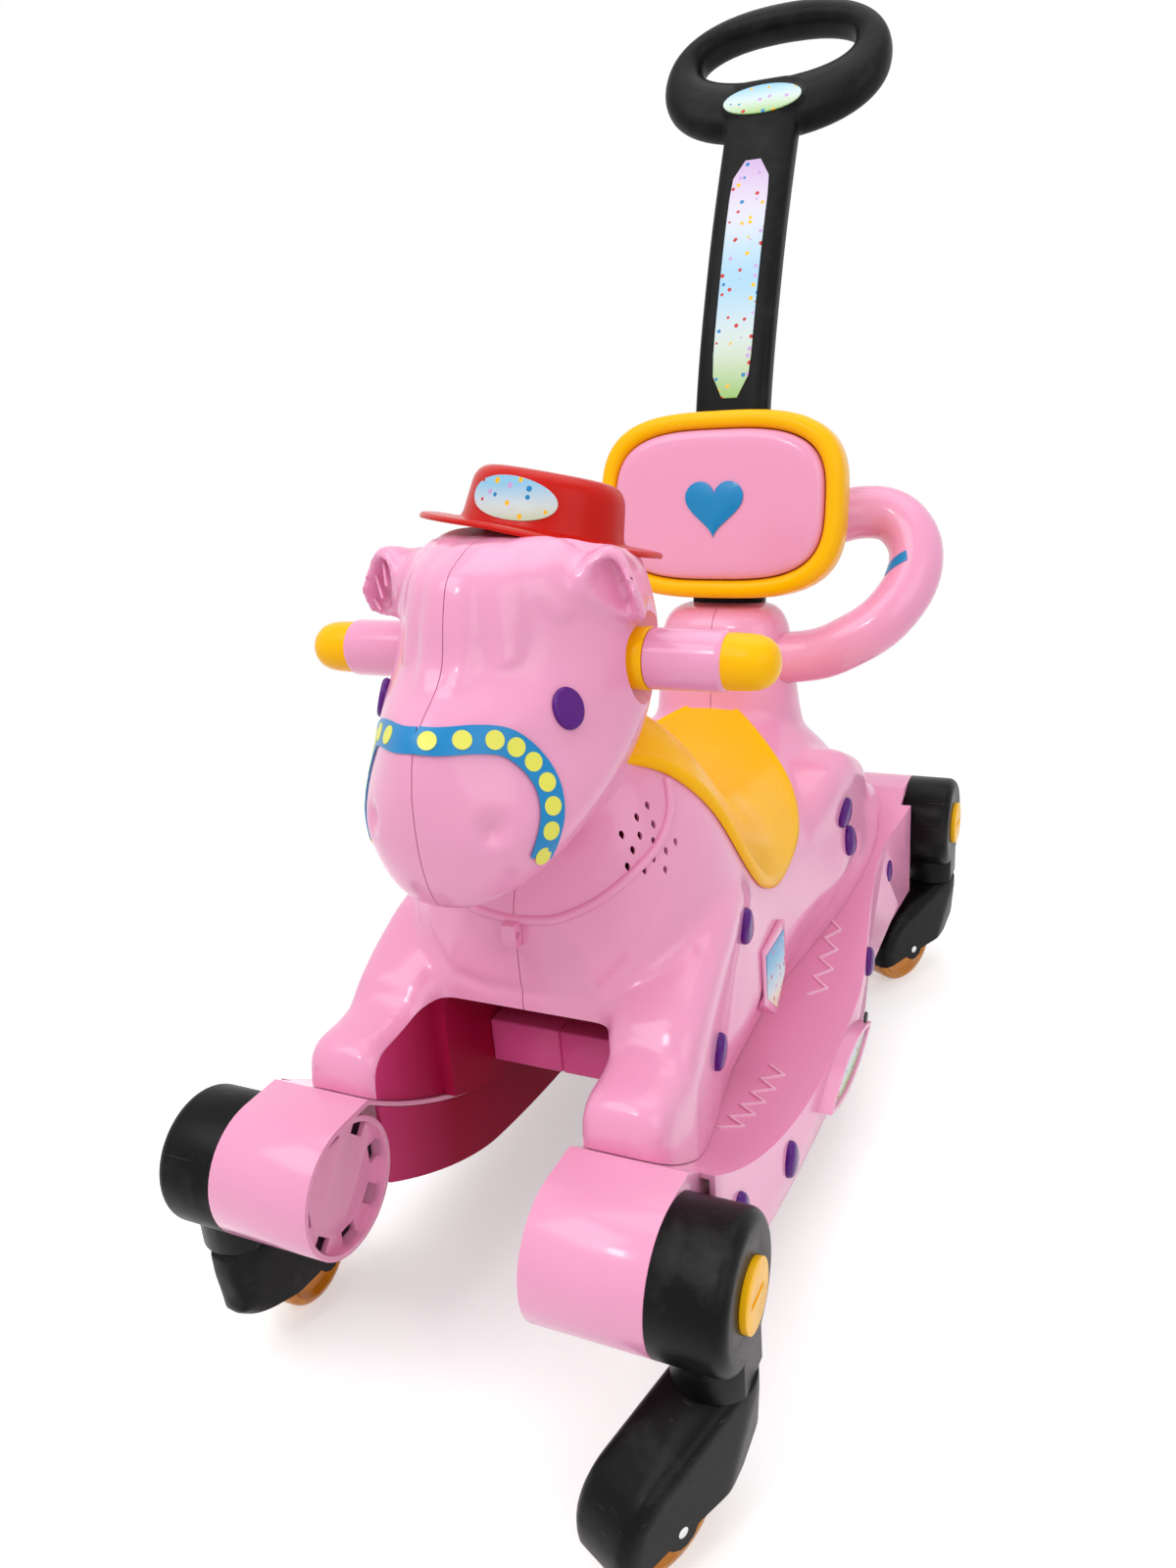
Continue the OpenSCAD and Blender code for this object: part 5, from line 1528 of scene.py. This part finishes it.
class HORSE_OT_legs(bpy.types.Operator):
    """Builds hubs, boots, wheels and pins"""

    bl_idname = "horse.legs"
    bl_label = "Legs"

    def execute(self, context):
        wheel = on_axle(turned_ring(WHEEL + [(r, -x) for r, x in reversed(WHEEL)]))
        model = boot_mesh()
        co = np.zeros(len(model.data.vertices) * 3)
        model.data.vertices.foreach_get("co", co)
        boot = (co.reshape(-1, 3) / MM, [tuple(p.vertices) for p in model.data.polygons])
        bpy.data.objects.remove(model)
        for leg in LEGS:
            rounded_copy(f"hub_{leg}", 1.6 * MM, leg_black(), "leg_black", f"leg_{leg}")
            rounded_copy(f"hub_cap_{leg}", 0.7 * MM, yellow(), "saddle_yellow", f"leg_{leg}")
            obj = piece(f"boot_{leg}", (caster_place(leg, boot[0]), boot[1]), to_frame=False)
            settle(smooth_shaded(obj, 40), leg_black(), f"caster_{leg}", "leg_black", f"fork_{leg}")
            obj = piece(f"roller_{leg}", (caster_place(leg, wheel[0]), wheel[1]), to_frame=False)
            settle(smooth_shaded(obj, 40), amber(), f"roller_{leg}", "wheel_amber", f"wheel_{leg}")
            for part in ("stem", "axle"):
                rounded_copy(f"{part}_{leg}", 0.4 * MM, steel(), "pin_steel", f"caster_{leg}")
        return {"FINISHED"}


class HORSE_OT_inside(bpy.types.Operator):
    """Finishes the sound unit inside the shell"""

    bl_idname = "horse.inside"
    bl_label = "Sound unit"

    def execute(self, context):
        # Painted light: the speaker takes the hat's red, standing for the red glow of the lit shell seen
        # through the speaker holes.
        rounded_copy("speaker", 1.0 * MM, red(), "bar_black")
        rounded_copy("battery_box", 1.5 * MM, bar_black(), "bar_black")
        return {"FINISHED"}


# Stage

CAMERA_AT = (295, -685.7, 531)
YAW, PITCH, ROLL, LENS = 26.2, 20.1, -4.6, 36.87


def camera():
    """Camera at the photograph's viewing angle."""
    yaw, pitch, roll = (math.radians(v) for v in (YAW, PITCH, ROLL))
    ahead = Vector((-math.sin(yaw) * math.cos(pitch), math.cos(yaw) * math.cos(pitch), -math.sin(pitch)))
    right = ahead.cross(Vector((0, 0, 1))).normalized()
    up = right.cross(ahead)
    c, s = math.cos(roll), math.sin(roll)
    axes = (right * c + up * s, up * c - right * s, -ahead)
    data = bpy.data.cameras.new("photo_view")
    data.sensor_fit = "HORIZONTAL"
    data.sensor_width = 36
    data.lens = LENS
    obj = stand("photo_view", data)
    obj.matrix_world = Matrix.Translation(Vector(placed(CAMERA_AT)[0])) @ Matrix(axes).transposed().to_4x4()
    bpy.context.scene.camera = obj


def lamp(name, place, aim, size, power_w):
    """A soft square lamp."""
    data = bpy.data.lights.new(name, "AREA")
    data.energy = power_w
    data.size = size
    obj = stand(name, data)
    way = Vector(aim) - Vector(place)
    obj.matrix_world = Matrix.Translation(place) @ way.to_track_quat("-Z", "Y").to_matrix().to_4x4()


def seen_ray(n, link):
    """One where a camera, glossy or glass ray meets the surface."""
    ray = n.new("ShaderNodeLightPath")
    seen = ray.outputs["Is Camera Ray"]
    for other in ("Is Glossy Ray", "Is Transmission Ray"):
        either = add(n, "ShaderNodeMath", operation="MAXIMUM")
        link(seen, either.inputs[0])
        link(ray.outputs[other], either.inputs[1])
        seen = either.outputs[0]
    return seen


class HORSE_OT_stage(bpy.types.Operator):
    """Sets the floor, lamps, world and camera"""

    bl_idname = "horse.stage"
    bl_label = "Stage"

    def execute(self, context):
        scene = context.scene
        scene.view_settings.view_transform = "Standard"
        world = bpy.data.worlds.new("white_room")
        scene.world = world
        world.use_nodes = True
        n, link = world.node_tree.nodes, world.node_tree.links.new
        sky = n["Background"]
        fill(sky, {"Color": (1, 1, 1, 1)})
        level = add(n, "ShaderNodeMapRange", {"To Min": 0.66, "To Max": 1.0})
        link(seen_ray(n, link), level.inputs["Value"])
        link(level.outputs["Result"], sky.inputs["Strength"])
        corners = [(-2, -2, 0), (2, -2, 0), (2, 2, 0), (-2, 2, 0)]
        floor = piece("floor", (corners, [(0, 1, 2, 3)]), to_frame=False)
        mat = bpy.data.materials.new("white_floor")
        mat.use_nodes = True
        n, link = mat.node_tree.nodes, mat.node_tree.links.new
        shader = n["Principled BSDF"]
        fill(shader, {"Base Color": (0.86, 0.86, 0.86, 1), "Roughness": 0.9, "Specular IOR Level": 0.1,
                      "Emission Color": (1, 1, 1, 1)})
        glow = add(n, "ShaderNodeMath", {1: 0.42}, "MULTIPLY")
        link(seen_ray(n, link), glow.inputs[0])
        link(glow.outputs[0], shader.inputs["Emission Strength"])
        place, far = n.new("ShaderNodeTexCoord"), add(n, "ShaderNodeVectorMath", operation="LENGTH")
        fade = add(n, "ShaderNodeMapRange", {"From Min": 0.45, "From Max": 0.8, "To Min": 1.0, "To Max": 0.0})
        link(place.outputs["Object"], far.inputs[0])
        link(far.outputs["Value"], fade.inputs["Value"])
        link(fade.outputs["Result"], shader.inputs["Alpha"])
        floor.data.materials.append(mat)
        lamp("key_lamp", (-0.9, -1.2, 2.3), (0, -0.1, 0.3), 1.3, 15)
        lamp("fill_lamp", (1.9, -1.4, 1.6), (0, 0, 0.3), 1.6, 11)
        lamp("top_lamp", (0.1, 0.5, 2.4), (0, 0, 0.2), 1.8, 14)
        lamp("spark_lamp", (-0.2, -1.5, 1.7), (0, -0.2, 0.4), 0.25, 4)
        camera()
        return {"FINISHED"}


OPERATORS = (HORSE_OT_stage, HORSE_OT_shell, HORSE_OT_head_trim, HORSE_OT_saddle, HORSE_OT_face,
             HORSE_OT_spots, HORSE_OT_rockers, HORSE_OT_hat, HORSE_OT_handlebar, HORSE_OT_back,
             HORSE_OT_legs, HORSE_OT_inside)


class HORSE_PT_panel(bpy.types.Panel):
    """Lists the builders of the horse"""

    bl_idname = "HORSE_PT_panel"
    bl_label = "Ride on horse"
    bl_space_type = "VIEW_3D"
    bl_region_type = "UI"
    bl_category = "Horse"

    def draw(self, context):
        for group in (context.scene.horse_sizes, context.scene.horse_colours):
            column = self.layout.column()
            for name in group.bl_rna.properties.keys():
                if name not in ("rna_type", "name"):
                    column.prop(group, name)
        for operator in OPERATORS:
            self.layout.operator(operator.bl_idname)


CLASSES = (HorseSizes, HorseColours) + OPERATORS + (HORSE_PT_panel,)


def register():
    for cls in CLASSES:
        bpy.utils.register_class(cls)
    bpy.types.Scene.horse_sizes = bpy.props.PointerProperty(type=HorseSizes)
    bpy.types.Scene.horse_colours = bpy.props.PointerProperty(type=HorseColours)


def unregister():
    del bpy.types.Scene.horse_colours
    del bpy.types.Scene.horse_sizes
    for cls in reversed(CLASSES):
        bpy.utils.unregister_class(cls)


def main():
    register()
    for operator in OPERATORS:
        group, name = operator.bl_idname.split(".")
        getattr(getattr(bpy.ops, group), name)()


if __name__ == "__main__":
    main()
